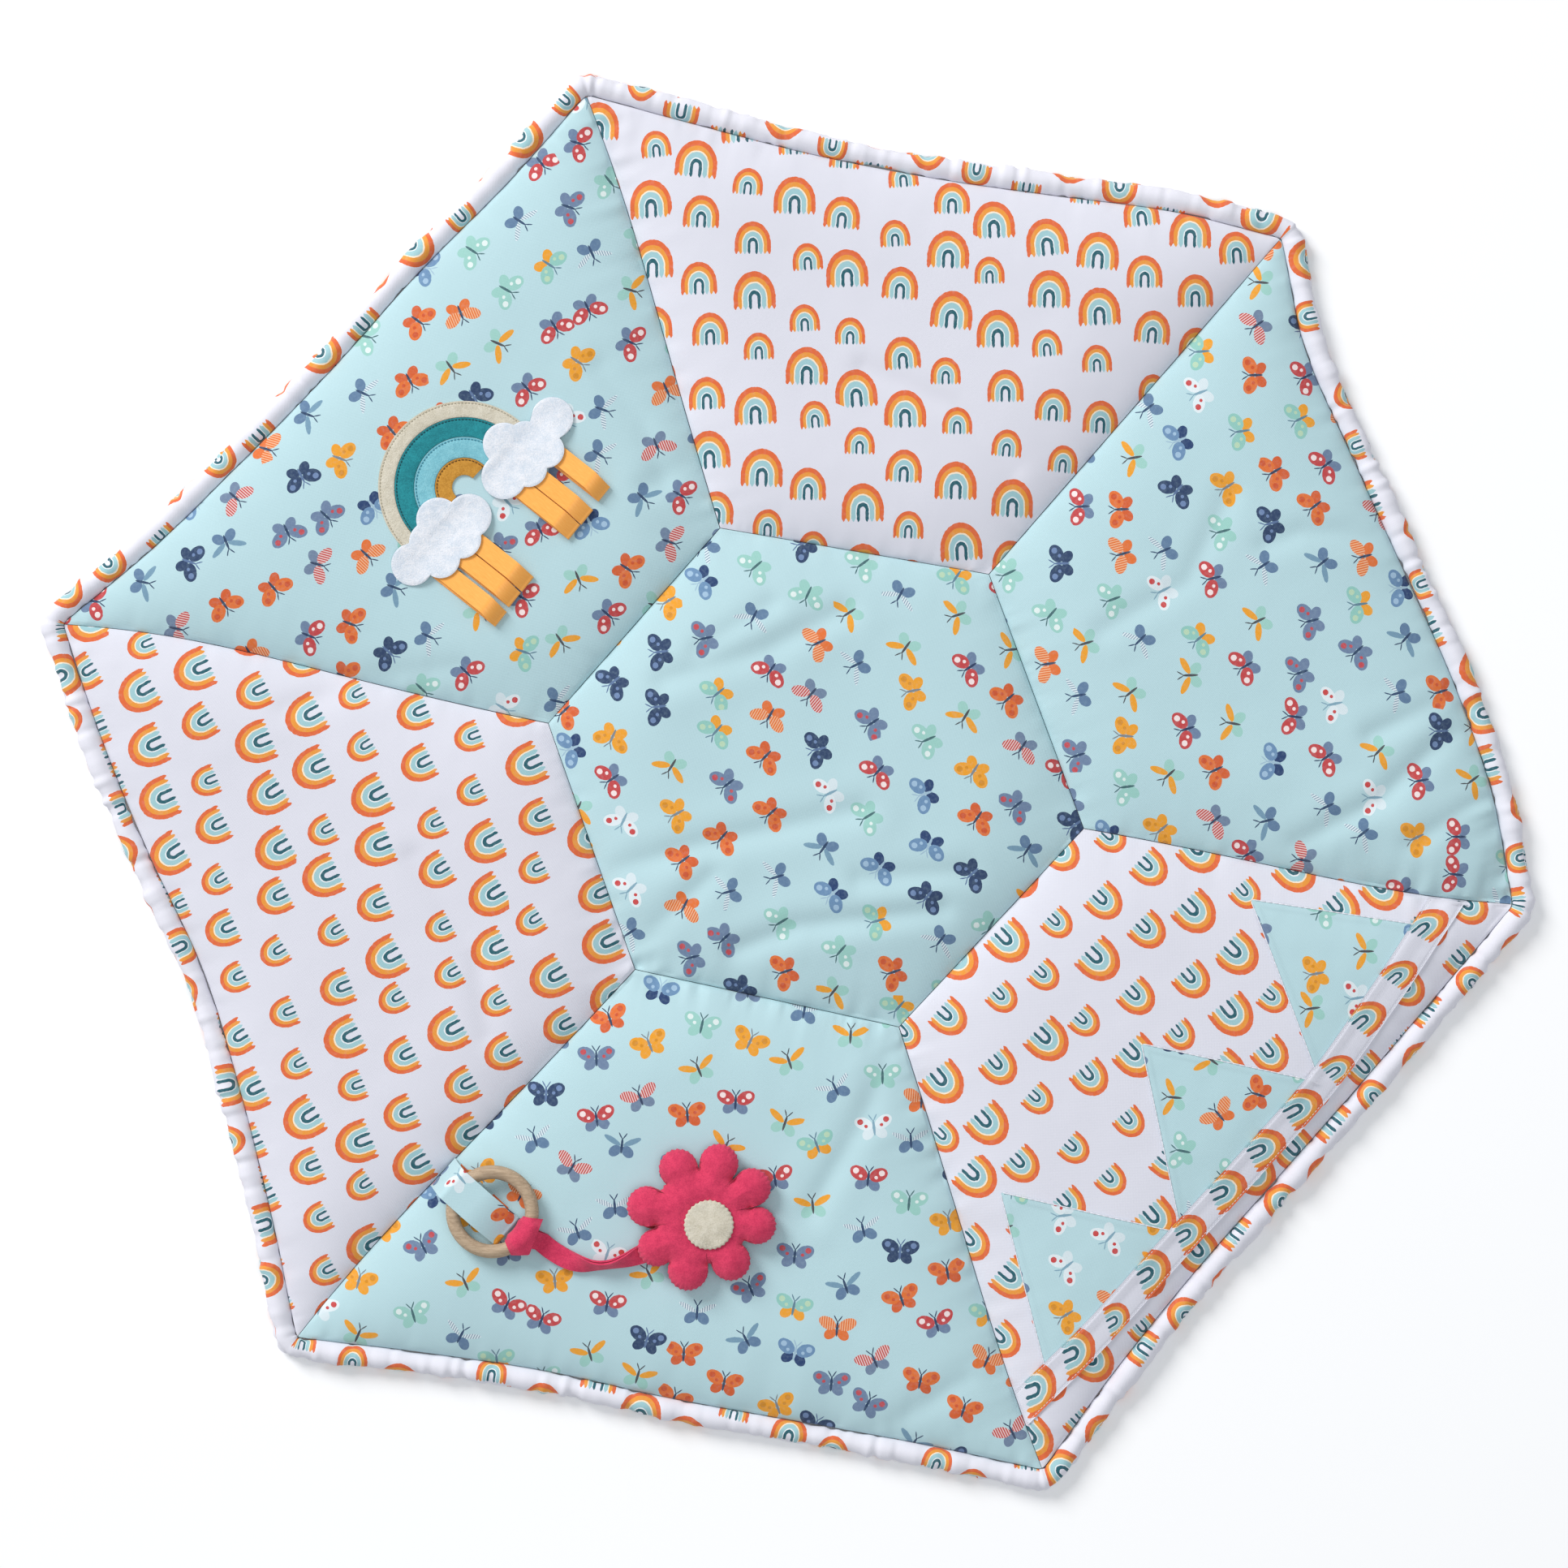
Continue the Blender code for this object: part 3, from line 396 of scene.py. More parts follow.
def rainbow_cotton(name, ground, seed, layout="rainbow", lean=RAINBOW_LEAN):
    """White cotton printed with scattered rainbows."""
    finish, tree, shader = new_finish(name, 0.85, 0.08)
    cloth, spot, step, _ = print_places(tree, layout, RAINBOW_STRAY, 3, lean, seed)
    half_width = add(tree, "Math", step, -RAINBOW_SIZE_STEP, RAINBOW_HALF_WIDTH, operation="MULTIPLY_ADD")
    brush = add(tree, "TexNoise", cloth, None, RAINBOW_BRUSH_PER_MM, 2.0, 0.5)
    wobble = add(tree, "Math", brush, BRUSH_WOBBLE, -BRUSH_WOBBLE / 2, operation="MULTIPLY_ADD")
    part = add(tree, "SeparateXYZ", spot)
    u = add(tree, "Math", part, half_width, operation="DIVIDE")
    v = add(tree, "Math", part.node.outputs[1], half_width, operation="DIVIDE")
    aside = add(tree, "Math", u, operation="ABSOLUTE")
    above = add(tree, "Math", v, LEG_TOP, operation="SUBTRACT")
    above = add(tree, "Math", above, 0.0, operation="MAXIMUM")
    above = add(tree, "Math", above, ARCH_RISE, operation="DIVIDE")
    reach = add(tree, "CombineXYZ", aside, above, 0.0)
    reach = add(tree, "VectorMath", reach, operation="LENGTH", pick=1)
    reach = add(tree, "Math", reach, wobble, operation="ADD")
    stops = [(where, paint, painted, "CONSTANT") for where, paint, painted in STRIPES]
    stripe = add(tree, "ValToRGB", reach, stops=stops)
    turns = math.tau / STRIPE_PITCH
    ends = add(tree, "Math", reach, turns, -turns * STRIPE_MIDDLE, operation="MULTIPLY_ADD")
    ends = add(tree, "Math", ends, operation="COSINE")
    foot = add(tree, "Math", wobble, FOOT_WOBBLE, LEG_END, operation="MULTIPLY_ADD")
    foot = add(tree, "Math", ends, -LEG_ROUNDING, foot, operation="MULTIPLY_ADD")
    standing = add(tree, "Math", v, foot, operation="GREATER_THAN")
    painted = add(tree, "Math", stripe.node.outputs[1], standing, operation="MULTIPLY")
    thin = add(tree, "Math", brush, *RAINBOW_THINNING, operation="MULTIPLY_ADD")
    painted = add(tree, "Math", painted, thin, operation="MULTIPLY", use_clamp=True)
    colour = add(tree, "MixRGB", painted, linear(ground), stripe)
    woven(tree, cloth, shader, colour)
    return finish


rainbow_print = rainbow_cotton("rainbow_print_cotton", "DADAE4", 3.0)
binding_print = rainbow_cotton("rainbow_print_binding", "E2E1EA", 11.0)
tape_print = rainbow_cotton("rainbow_print_tape", "DDDDE7", 19.0, "tape", (-20.0, 5.0))

# %% [markdown]
# ## Butterfly print
#
# Small butterflies in many colourways are another ordinary motif, and these are the builder's own.
# One butterfly is half drawn and mirrored across its body: a fore wing, a hind wing, a body, a feeler
# and a few spots, each an ellipse. A random number for each place picks a row of the table below,
# which says how that kind is coloured and how thin its fore wing is.

# %% Butterfly cotton
BUTTERFLY_STRAY = (5.0, 0.0)
BUTTERFLY_LEAN = (0.0, 30.0)
BUTTERFLY_BRUSH_PER_MM = 0.35
BUTTERFLY_THINNING = (-0.36, 1.16)
WING_RAGGEDNESS = 0.9
WING_BAR_TURNS = 3.4
WING_BAR_LEVEL = 0.3
KINDS = (
    # fore wing, hind wing, spots, stripes, body, fore wing's width
    ("BF4446", "6B7F9D", "F0DEDC", None, "2C3D5E", 1.0),
    ("E89D2B", "E89D2B", "D18A22", None, "7C8288", 1.0),
    ("2E4264", "2E4264", "6C83AB", None, "5A7197", 1.0),
    ("DD7034", "D05E30", "C9542C", None, "37415A", 1.0),
    ("6A8CB0", "28406C", "9DBAD3", None, "9DB9CB", 1.0),
    ("DCE6EA", "D3E0E5", "C64646", None, "7FA2B4", 0.9),
    ("8FC4BA", "E89D2B", "B6D2B4", None, "5E7F90", 1.0),
    ("BF4A48", "70829C", None, "E9CFCB", "33405C", 0.85),
    ("7396AD", "5F7B9B", None, None, "2A4060", 0.42),
    ("6C809E", "6C809E", "BF4A52", None, "2A4060", 1.0),
    ("DD7034", "DD7034", None, "EDB68E", "37415A", 0.9),
    ("98C9C0", "98C9C0", "DCE8E6", None, "43686C", 1.0),
    ("D9E5EA", "5F7B9B", None, "8199AA", "2F4668", 0.38),
    ("E89D2B", "9CCBC2", None, None, "4A4C50", 0.5),
)
HALF_BUTTERFLY = {
    # part: middle x, y, half length, half width, turn in degrees; in mm from the body's middle
    "fore wing": (8.0, 3.3, 7.5, 5.3, 27.0),
    "hind wing": (5.1, -5.0, 5.4, 4.1, -42.0),
    "large spot": (10.4, 4.9, 2.4, 2.3, 0.0),
    "small spot": (6.2, 1.0, 1.4, 1.3, 0.0),
    "body": (0.0, -0.6, 1.05, 6.3, 0.0),
    "feeler": (1.8, 7.4, 0.5, 3.0, -32.0),
}


def butterfly_cotton(name, ground, seed):
    """Aqua cotton printed with scattered butterflies."""
    finish, tree, shader = new_finish(name, 0.85, 0.08)
    cloth, spot, _, other = print_places(tree, "butterfly", BUTTERFLY_STRAY, 1, BUTTERFLY_LEAN, seed)
    brush = add(tree, "TexNoise", cloth, None, BUTTERFLY_BRUSH_PER_MM, 2.0, 0.6)
    part = add(tree, "SeparateXYZ", spot)
    mirrored = add(tree, "Math", part, operation="ABSOLUTE")
    ragged = add(tree, "Math", brush, WING_RAGGEDNESS, part.node.outputs[1], operation="MULTIPLY_ADD")
    half = add(tree, "CombineXYZ", mirrored, ragged, 0.0)
    kind = add(tree, "SeparateXYZ", other)
    starts = [row / len(KINDS) for row in range(len(KINDS))]
    paints = {}
    for column, part_name in enumerate(("fore wing", "hind wing", "spots", "stripes", "body")):
        stops = [(start, row[column] or ground, 1 if row[column] else 0, "CONSTANT")
                 for start, row in zip(starts, KINDS)]
        paints[part_name] = add(tree, "ValToRGB", kind, stops=stops)
    widths = [(start, f"{round(row[5] * 255):02X}" * 3, row[5], "CONSTANT")
              for start, row in zip(starts, KINDS)]
    thin_wing = add(tree, "ValToRGB", kind, stops=widths, pick=1)
    inside = {}
    for part_name, (x, y, long, wide, degrees) in HALF_BUTTERFLY.items():
        size = (long, wide, 1.0)
        if part_name == "fore wing":
            narrow = add(tree, "Math", thin_wing, wide, operation="MULTIPLY")
            size = add(tree, "CombineXYZ", long, narrow, 1.0)
        tilt = (0.0, 0.0, math.radians(degrees))
        away = add(tree, "Mapping", half, (x, y, 0.0), tilt, size, vector_type="TEXTURE")
        away = add(tree, "VectorMath", away, operation="LENGTH", pick=1)
        inside[part_name] = add(tree, "Math", away, 1.0, operation="LESS_THAN")
    colour = add(tree, "MixRGB", inside["hind wing"], linear(ground), paints["hind wing"])
    colour = add(tree, "MixRGB", inside["fore wing"], colour, paints["fore wing"])
    spots = add(tree, "Math", inside["large spot"], inside["small spot"], operation="MAXIMUM")
    spots = add(tree, "Math", spots, paints["spots"].node.outputs[1], operation="MULTIPLY")
    colour = add(tree, "MixRGB", spots, colour, paints["spots"])
    bars = add(tree, "Math", mirrored, WING_BAR_TURNS, operation="MULTIPLY")
    bars = add(tree, "Math", bars, operation="SINE")
    bars = add(tree, "Math", bars, WING_BAR_LEVEL, operation="GREATER_THAN")
    bars = add(tree, "Math", bars, inside["fore wing"], operation="MULTIPLY")
    bars = add(tree, "Math", bars, paints["stripes"].node.outputs[1], operation="MULTIPLY")
    colour = add(tree, "MixRGB", bars, colour, paints["stripes"])
    middle = add(tree, "Math", inside["body"], inside["feeler"], operation="MAXIMUM")
    colour = add(tree, "MixRGB", middle, colour, paints["body"])
    thin = add(tree, "Math", brush, *BUTTERFLY_THINNING, operation="MULTIPLY_ADD", use_clamp=True)
    colour = add(tree, "MixRGB", thin, linear(ground), colour)
    woven(tree, cloth, shader, colour)
    return finish


butterfly_print = butterfly_cotton("butterfly_print_cotton", "B6D4DA", 5.0)

# %% [markdown]
# ## Plain finishes
#
# Wool-and-viscose felt has no weave: its fibres lie every way, so its colour is mottled at a
# millimetre or two and its surface is fuzzy and matte. Satin ribbon is woven with long floats, which
# give it fine lines along its length and a soft shine. The ring is sanded beech: pale, with
# straight grain and the small dark flecks of its rays. Sewing thread is twisted cotton.
#
# Noise scales are counts to the metre, or to the millimetre on the flat cloth, so 900 is a feature
# each 1.1 mm. Felt's tufts, satin's floats, the backing's threads and the twist of a thread are finer
# than that in reality, and are drawn as coarse as they need to be to show.

# %% Felt, satin, beech, backing and thread
FELT_TUFTS = 900.0
FELT_TUFT_SHARE = 0.6
FELT_RELIEF = 0.0009
SATIN_FLOATS_PER_MM = (2.2, 0.12, 1.0)
SATIN_RELIEF = 0.0001
GRAIN_LINES = (60.0, 620.0, 620.0)
RAY_FLECKS = (420.0, 1900.0, 1900.0)
GRAIN_TILT = (0.0, 0.0, 0.5)
FLECK_LEVEL = 0.66
FLECK_STRENGTH = 0.45
GRAIN_RELIEF = 0.0002
BACKING_CLOUDS = 14.0
BACKING_THREADS = 700.0
BACKING_RELIEF = 0.0001
THREAD_TWIST = 1500.0


def felt(name, light, dark, clump_pitch=6.0):
    """Felt, mottled between two close colours; the clumps' pitch is in mm."""
    finish, tree, shader = new_finish(name, 0.95, 0.15)
    where = add(tree, "TexCoord", pick=3)
    fibres = add(tree, "TexNoise", where, None, FELT_TUFTS, 4.0, 0.7)
    clumps = add(tree, "TexNoise", where, None, 1 / (clump_pitch * MM), 3.0, 0.6)
    mottle = add(tree, "Math", fibres, FELT_TUFT_SHARE, operation="MULTIPLY")
    mottle = add(tree, "Math", clumps, 1 - FELT_TUFT_SHARE, mottle, operation="MULTIPLY_ADD")
    colour = add(tree, "ValToRGB", mottle, stops=two_tones(dark, light, 0.4, 0.6))
    colour_and_relief(tree, shader, colour, mottle, 1.0, FELT_RELIEF)
    return finish


cream_felt = felt("cream_wool_felt", "DDD6C5", "C6BEAA")
teal_felt = felt("teal_wool_felt", "22929B", "147781")
blue_felt = felt("light_blue_wool_felt", "8BCBD7", "72B6C5")
ochre_felt = felt("ochre_wool_felt", "D2983C", "B67C24")
white_felt = felt("white_wool_felt", "EDEEF3", "D0DAE6", 8.0)
red_felt = felt("pink_red_wool_felt", "E23E64", "C52C54")


def satin(name, light, dark):
    """Woven satin ribbon: fine lines along its length and a soft shine."""
    finish, tree, shader = new_finish(name, 0.42, 0.2)
    shader.inputs["Specular IOR Level"].default_value = 0.45
    cloth = add(tree, "UVMap", uv_map="cloth")
    floats = add(tree, "VectorMath", cloth, SATIN_FLOATS_PER_MM, operation="MULTIPLY")
    lines = add(tree, "TexNoise", floats, None, 1.0, 3.0, 0.6)
    colour = add(tree, "ValToRGB", lines, stops=two_tones(dark, light))
    colour_and_relief(tree, shader, colour, lines, 0.5, SATIN_RELIEF)
    return finish


orange_satin = satin("orange_satin_ribbon", "FFB653", "F7A03C")


def beech_wood():
    """Sanded, unvarnished beech with straight grain and small flecks."""
    finish, tree, shader = new_finish("sanded_beech", 0.6)
    where = add(tree, "TexCoord", pick=3)
    along = add(tree, "Mapping", where, None, GRAIN_TILT, GRAIN_LINES)
    grain = add(tree, "TexNoise", along, None, 1.0, 4.0, 0.6)
    fleck = add(tree, "Mapping", where, None, GRAIN_TILT, RAY_FLECKS)
    fleck = add(tree, "TexNoise", fleck, None, 1.0, 1.0, 0.5)
    wood = add(tree, "ValToRGB", grain, stops=two_tones("9E8870", "C5AE93"))
    dark = add(tree, "Math", fleck, FLECK_LEVEL, operation="GREATER_THAN")
    dark = add(tree, "Math", dark, FLECK_STRENGTH, operation="MULTIPLY")
    colour = add(tree, "MixRGB", dark, wood, linear("8E6F52"))
    colour_and_relief(tree, shader, colour, grain, 0.4, GRAIN_RELIEF)
    return finish


beech = beech_wood()


def plain_cotton():
    """Plain white cotton for the side that faces the floor."""
    finish, tree, shader = new_finish("plain_backing_cotton", 0.88)
    where = add(tree, "TexCoord", pick=3)
    cloudy = add(tree, "TexNoise", where, None, BACKING_CLOUDS, 3.0, 0.6)
    colour = add(tree, "ValToRGB", cloudy, stops=two_tones("DFDEE6", "E8E7EE"))
    threads = add(tree, "TexNoise", where, None, BACKING_THREADS, 2.0, 0.6)
    colour_and_relief(tree, shader, colour, threads, 0.6, BACKING_RELIEF)
    return finish


backing_cotton = plain_cotton()


def thread(name, light, dark):
    """Twisted sewing thread."""
    finish, tree, shader = new_finish(name, 0.7, 0.1)
    where = add(tree, "TexCoord", pick=3)
    twist = add(tree, "TexNoise", where, None, THREAD_TWIST, 2.0, 0.6)
    colour = add(tree, "ValToRGB", twist, stops=two_tones(dark, light))
    colour_and_relief(tree, shader, colour)
    return finish


teal_thread = thread("dark_teal_thread", "0F4F57", "0A3D45")
brown_thread = thread("brown_thread", "7A4E18", "63400F")
blue_thread = thread("blue_thread", "3F93A8", "337F94")
cream_thread = thread("cream_thread", "C9C0AA", "B0A68F")
red_thread = thread("pink_red_thread", "B32148", "94183A")
white_thread = thread("white_thread", "EAEAF1", "D6D7E0")

# %% [markdown]
# ## Meshes from places
#
# Every sewn piece is a closed mesh: an upper layer of points, a lower layer, and a rim between. A
# grid suits strips and panels, and rings round a middle point suit discs, clouds and the hexagon. The
# helpers below number the faces once, so that each piece only has to say where its points are.


# %% Mesh helpers
def grid_faces(rows, columns):
    """Faces of a grid, and its rim in order."""
    index = np.arange(rows * columns).reshape(rows, columns)
    quads = np.stack([index[:-1, :-1], index[:-1, 1:], index[1:, 1:], index[1:, :-1]], -1)
    rim = np.concatenate([index[0], index[1:, -1], index[-1, -2::-1], index[-2:0:-1, 0]])
    return quads.reshape(-1, 4), rim


def ring_faces(rings, columns):
    """Faces of closed rings, outermost first, round one last middle point, and the rim in order."""
    index = np.arange(rings * columns).reshape(rings, columns)
    onward = np.roll(index, -1, axis=1)
    quads = np.stack([index[:-1], onward[:-1], onward[1:], index[1:]], -1).reshape(-1, 4)
    fan = np.stack([index[-1], onward[-1], np.full(columns, rings * columns)], -1)
    return quads.tolist() + fan.tolist(), index[0]


def close_sheet(faces, rim, count):
    """Close a thin sheet: the lower layer's points follow the upper layer's, in the same order."""
    faces = [list(face) for face in faces]
    under = [[i + count for i in reversed(face)] for face in faces]
    onward = np.roll(rim, -1)
    walls = np.stack([onward, rim, rim + count, onward + count], -1).tolist()
    return faces + under + walls


def close_on_floor(faces, rim, count):
    """Close a padded piece: only the rim has lower points, and one flat face closes it underneath."""
    foot = np.arange(count, count + len(rim))
    walls = np.stack([np.roll(rim, -1), rim, foot, np.roll(foot, -1)], -1).tolist()
    return [list(face) for face in faces] + walls + [foot[::-1].tolist()]


def make_piece(name, points, faces, finish, grain=None):
    """Make a piece from plan points in mm; grain is each point's, or each corner's, place on flat cloth."""
    placed = np.asarray(points, float) + (*PLAN_SHIFT, 0.0)
    mesh = bpy.data.meshes.new(name)
    mesh.from_pydata((placed * MM).tolist(), [], faces)
    mesh.calc_loop_triangles()
    triangles = np.array([t.vertices for t in mesh.loop_triangles])
    a, b, c = (placed[triangles[:, k]] for k in range(3))
    if np.einsum("ij,ij->i", a, np.cross(b, c)).sum() < 0:
        mesh.flip_normals()
    if grain is not None:
        corner_point = np.empty(len(mesh.loops), np.int32)
        mesh.loops.foreach_get("vertex_index", corner_point)
        grain = np.asarray(grain, np.float32)
        layer = mesh.uv_layers.new(name="cloth")
        layer.data.foreach_set("uv", (grain[corner_point] if len(grain) == len(placed) else grain).ravel())
    mesh.materials.append(finish)
    mesh.shade_smooth()
    mesh.set_sharp_from_angle(angle=math.radians(55))
    piece = bpy.data.objects.new(name, mesh)
    bpy.context.scene.collection.objects.link(piece)
    return piece


def sew_on(piece, slot, *nodes):
    """Let a piece ride on the mat and stand for its solids; the slot is not used."""
    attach(piece, "root")
    if nodes:
        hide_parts(*nodes)
    print(piece.name, len(piece.data.polygons), "faces")


def printed(points, up_degrees, slide=(0.0, 0.0)):
    """Flat cloth coordinates of plan points, for a print whose up runs in that direction."""
    up = direction(math.radians(up_degrees))
    right = np.array((up[1], -up[0]))
    flat = np.asarray(points)[:, :2]
    return np.stack([flat @ right + slide[0], flat @ up + slide[1]], -1)


# %% [markdown]
# ## The mat's outline and seams
#
# These are the same few driving sizes as the solids have: where the hexagon's sides would cross,
# where the seams meet in the middle, and how far each side and seam bows. The binding takes the
# outermost strip and the panels fill the rest.

# %% Outline, seams and creases
SEAM_HALF_GAP = 0.2
BINDING_WIDTH = 16.8
BINDING_HEIGHT = 14.0
RIM_TO_PANEL = BINDING_WIDTH + 0.8
PANEL_BASE = 2.3
SEAM_HEIGHT = 8.5
PUFF_HEIGHT = 25.0
SHOULDER_WIDTH = 85.0
CORNER_REACH = 16.0
CORNERS = (
    # name, outer x, outer y, seam x, seam y, seam bow
    ("upper_right", 408.2, 449.7, 160.1, 166.5, 0.0),
    ("top", -167.8, 569.0, -55.1, 203.5, 4.0),
    ("left", -600.7, 132.2, -192.5, 47.3, 8.0),
    ("lower_left", -407.6, -459.4, -123.1, -149.7, 4.5),
    ("bottom", 210.0, -569.0, 88.1, -195.7, 3.0),
    ("right", 598.8, -102.4, 235.9, -36.9, 5.5),
)
SIDES = (
    # panel, print, up of the print, bow at 1/6, 2/6, 3/6, 4/6, 5/6
    ("panel_top", "rainbow", 90.0, (3.8, -3.0, -9.0, -10.0, -5.3)),
    ("panel_upper_left", "butterfly", -38.0, (-5.0, -5.0, -10.0, -11.0, -9.0)),
    ("panel_left", "rainbow", 207.0, (-0.5, -8.0, -20.5, -18.5, -11.0)),
    ("panel_bottom", "butterfly", 90.0, (-5.5, -8.5, -4.5, -4.0, -3.5)),
    ("panel_lower_right", "rainbow", -46.0, (-6.0, -8.0, -5.5, -2.5, -1.0)),
    ("panel_right", "butterfly", 200.0, (13.5, 13.5, 5.0, -4.0, -11.5)),
)
CENTRE_PRINT_UP = 216.0
CREASES = (
    # depth, half width, points
    (3.0, 12.0, ((-43, -135), (8, -115), (122, -102))),
    (2.6, 13.0, ((-144, -72), (-73, -51), (57, -22))),
    (2.0, 12.0, ((-112, -121), (-63, -75))),
    (2.4, 13.0, ((-99, 82), (-20, 105), (44, 137))),
    (1.8, 11.0, ((-73, 106), (-14, 142))),
    (2.2, 12.0, ((57, -78), (141, -72))),
    (3.0, 12.0, ((407, -49), (472, -14), (530, 41))),
    (2.4, 11.0, ((465, 38), (517, 62))),
    (2.4, 11.0, ((498, -49), (560, -10))),
    (1.8, 12.0, ((381, 189), (410, 200), (472, 197))),
    (2.4, 13.0, ((86, -208), (57, -273), (18, -341))),
    (2.2, 13.0, ((73, -520), (141, -477))),
    (1.8, 13.0, ((-112, 236), (-70, 262))),
    (1.8, 13.0, ((-150, 330), (-118, 290), (-98, 240))),
    (1.6, 12.0, ((-400, 60), (-330, 84), (-262, 92))),
    (1.6, 12.0, ((250, 120), (318, 160), (352, 230))),
    (1.8, 13.0, ((-300, -60), (-250, -130), (-240, -200))),
    (1.6, 12.0, ((60, 330), (130, 300), (180, 250))),
)


def outer_corner(index):
    """Corner where two sides would cross."""
    return np.array(CORNERS[index % 6][1:3])


def seam_corner(index):
    """Corner of the middle hexagon."""
    return np.array(CORNERS[index % 6][3:5])


def side_frame(index):
    """Start, length, direction and inward normal of one side's chord."""
    run = outer_corner(index + 1) - outer_corner(index)
    length = np.hypot(*run)
    along = run / length
    return outer_corner(index), length, along, np.array((-along[1], along[0]))


def bow_at(index, distance):
    """How far a side bows out at distances along its chord."""
    values = (0.0, *SIDES[index % 6][3], 0.0)
    return smooth_between(values, np.asarray(distance) / side_frame(index)[1] * (len(values) - 1))


def side_point(index, distance):
    """Point of the outer edge of one side."""
    start, _, along, inward = side_frame(index)
    return start + along * distance - inward * bow_at(index, distance)


def rounded_corner(index, fraction):
    """Point and inward normal on the rounding at a corner."""
    first = side_point(index - 1, side_frame(index - 1)[1] - CORNER_REACH)
    last = side_point(index, CORNER_REACH)
    bend = outer_corner(index)
    point = first * (1 - fraction) ** 2 + bend * 2 * fraction * (1 - fraction) + last * fraction ** 2
    tangent = (bend - first) * (1 - fraction) + (last - bend) * fraction
    tangent /= np.hypot(*tangent)
    return point, np.array((-tangent[1], tangent[0]))


def edge_station(index, fraction):
    """Point and inward normal of the outer edge, from the middle of one rounded corner to the next."""
    length = side_frame(index)[1]
    distance = fraction * length
    if distance < CORNER_REACH:
        return rounded_corner(index, 0.5 + 0.5 * distance / CORNER_REACH)
    if distance > length - CORNER_REACH:
        return rounded_corner(index + 1, 0.5 * (distance - length + CORNER_REACH) / CORNER_REACH)
    tangent = side_point(index, distance + 2.0) - side_point(index, distance - 2.0)
    tangent /= np.hypot(*tangent)
    return side_point(index, distance), np.array((-tangent[1], tangent[0]))


def panel_edge(index, fraction):
    """Point of a panel's outer edge, where the binding takes it."""
    point, inward = edge_station(index, fraction)
    return point + inward * RIM_TO_PANEL


def seam_line(index):
    """Start, length, direction and clockwise normal of the seam that runs out to one corner."""
    run = panel_edge(index, 0.0) - seam_corner(index)
    length = np.hypot(*run)
    along = run / length
    return seam_corner(index), length, along, np.array((along[1], -along[0]))


def seam_bow(index, share):
    """How far a seam bows to its clockwise side at shares of its length."""
    share = np.clip(share, 0.0, 1.0)
    return CORNERS[index % 6][5] * np.sin(math.pi * share * share)


def seam_margin(index, place):
    """Distances of places to the clockwise side of a seam, and along it."""
    start, length, along, clockwise = seam_line(index)
    away = place - start
    reach = away @ along
    return away @ clockwise - seam_bow(index, reach / length), reach


def line_margin(place, start, end):
    """Distances of places to the left of a line, and along it."""
    run = (end - start) / np.hypot(*(end - start))
    away = place - start
    return run[0] * away[..., 1] - run[1] * away[..., 0], away @ run


def course_distance(place, course):
    """Shortest distances from places to a row of joined segments."""
    nearest = np.full(place.shape[:-1], np.inf)
    for first, last in pairwise(np.array(course, float)):
        run = last - first
        share = np.clip((place - first) @ run / (run @ run), 0.0, 1.0)
        gap = place - first - share[..., None] * run
        nearest = np.minimum(nearest, np.hypot(gap[..., 0], gap[..., 1]))
    return nearest


print("outline from corner to corner", round(np.hypot(*(outer_corner(2) - outer_corner(5)))), "mm")

# %% [markdown]
# ## How the padded cloth stands
#
# Wadding lifts each panel, and the seams pull it down. Close to a seam the cloth is steep, and it
# gathers in small puckers that run away from the stitches. Further in it is nearly level, with a few
# long soft creases that lie where the photograph shows them. The height is one formula of the place,
# so anything sewn on later can ask the same formula what it lies on.

# %% Height of the puffed panels
PUCKERS = (
    # height, pitch along the seam, how far in they reach
    (1.0, 9.0, 17.0),
    (0.5, 4.2, 7.0),
    (0.7, 26.0, 42.0),
)
PUCKERED = (
    # x, y, reach, how much stronger the puckers are there
    (545.0, -60.0, 90.0, 2.2),
    (40.0, -480.0, 150.0, 1.0),
    (-60.0, -130.0, 110.0, 1.2),
    (-130.0, 500.0, 110.0, 1.2),
    (80.0, -300.0, 120.0, 1.0),
    (500.0, 60.0, 120.0, 0.8),
)
PUCKER_STRENGTH = 0.8
CREASE_SHARPNESS = 0.75
LIP_SHARE = 0.3
LIP_AWAY = 1.6
SWELL_HEIGHT = 1.1
SWELL_REACH = 150
LUMPS = (
    # height, pitch
    (0.55, 55.0),
    (0.16, 17.0),
)


def shoulder(distance):
    """How much of the full puff stands at a distance from a seam."""
    inside = np.clip(distance / SHOULDER_WIDTH, 0.0, 1.0)
    return (1 - (1 - inside) ** 2.2) ** 0.6


def panel_margins(index, place):
    """Distances from each edge of a panel and along it; the middle hexagon is number 6."""
    if index == 6:
        corners = [seam_corner(i) for i in range(6)]
        return [line_margin(place, *edge) for edge in zip(corners, corners[1:] + corners[:1])]
    start, _, along, inward = side_frame(index)
    reach = (place - start) @ along
    rim = (place - start) @ inward + bow_at(index, reach) - RIM_TO_PANEL
    first, first_reach = seam_margin(index, place)
    inner = line_margin(place, seam_corner(index + 1), seam_corner(index))
    return [(rim, reach), inner, (-first, first_reach), seam_margin(index + 1, place)]


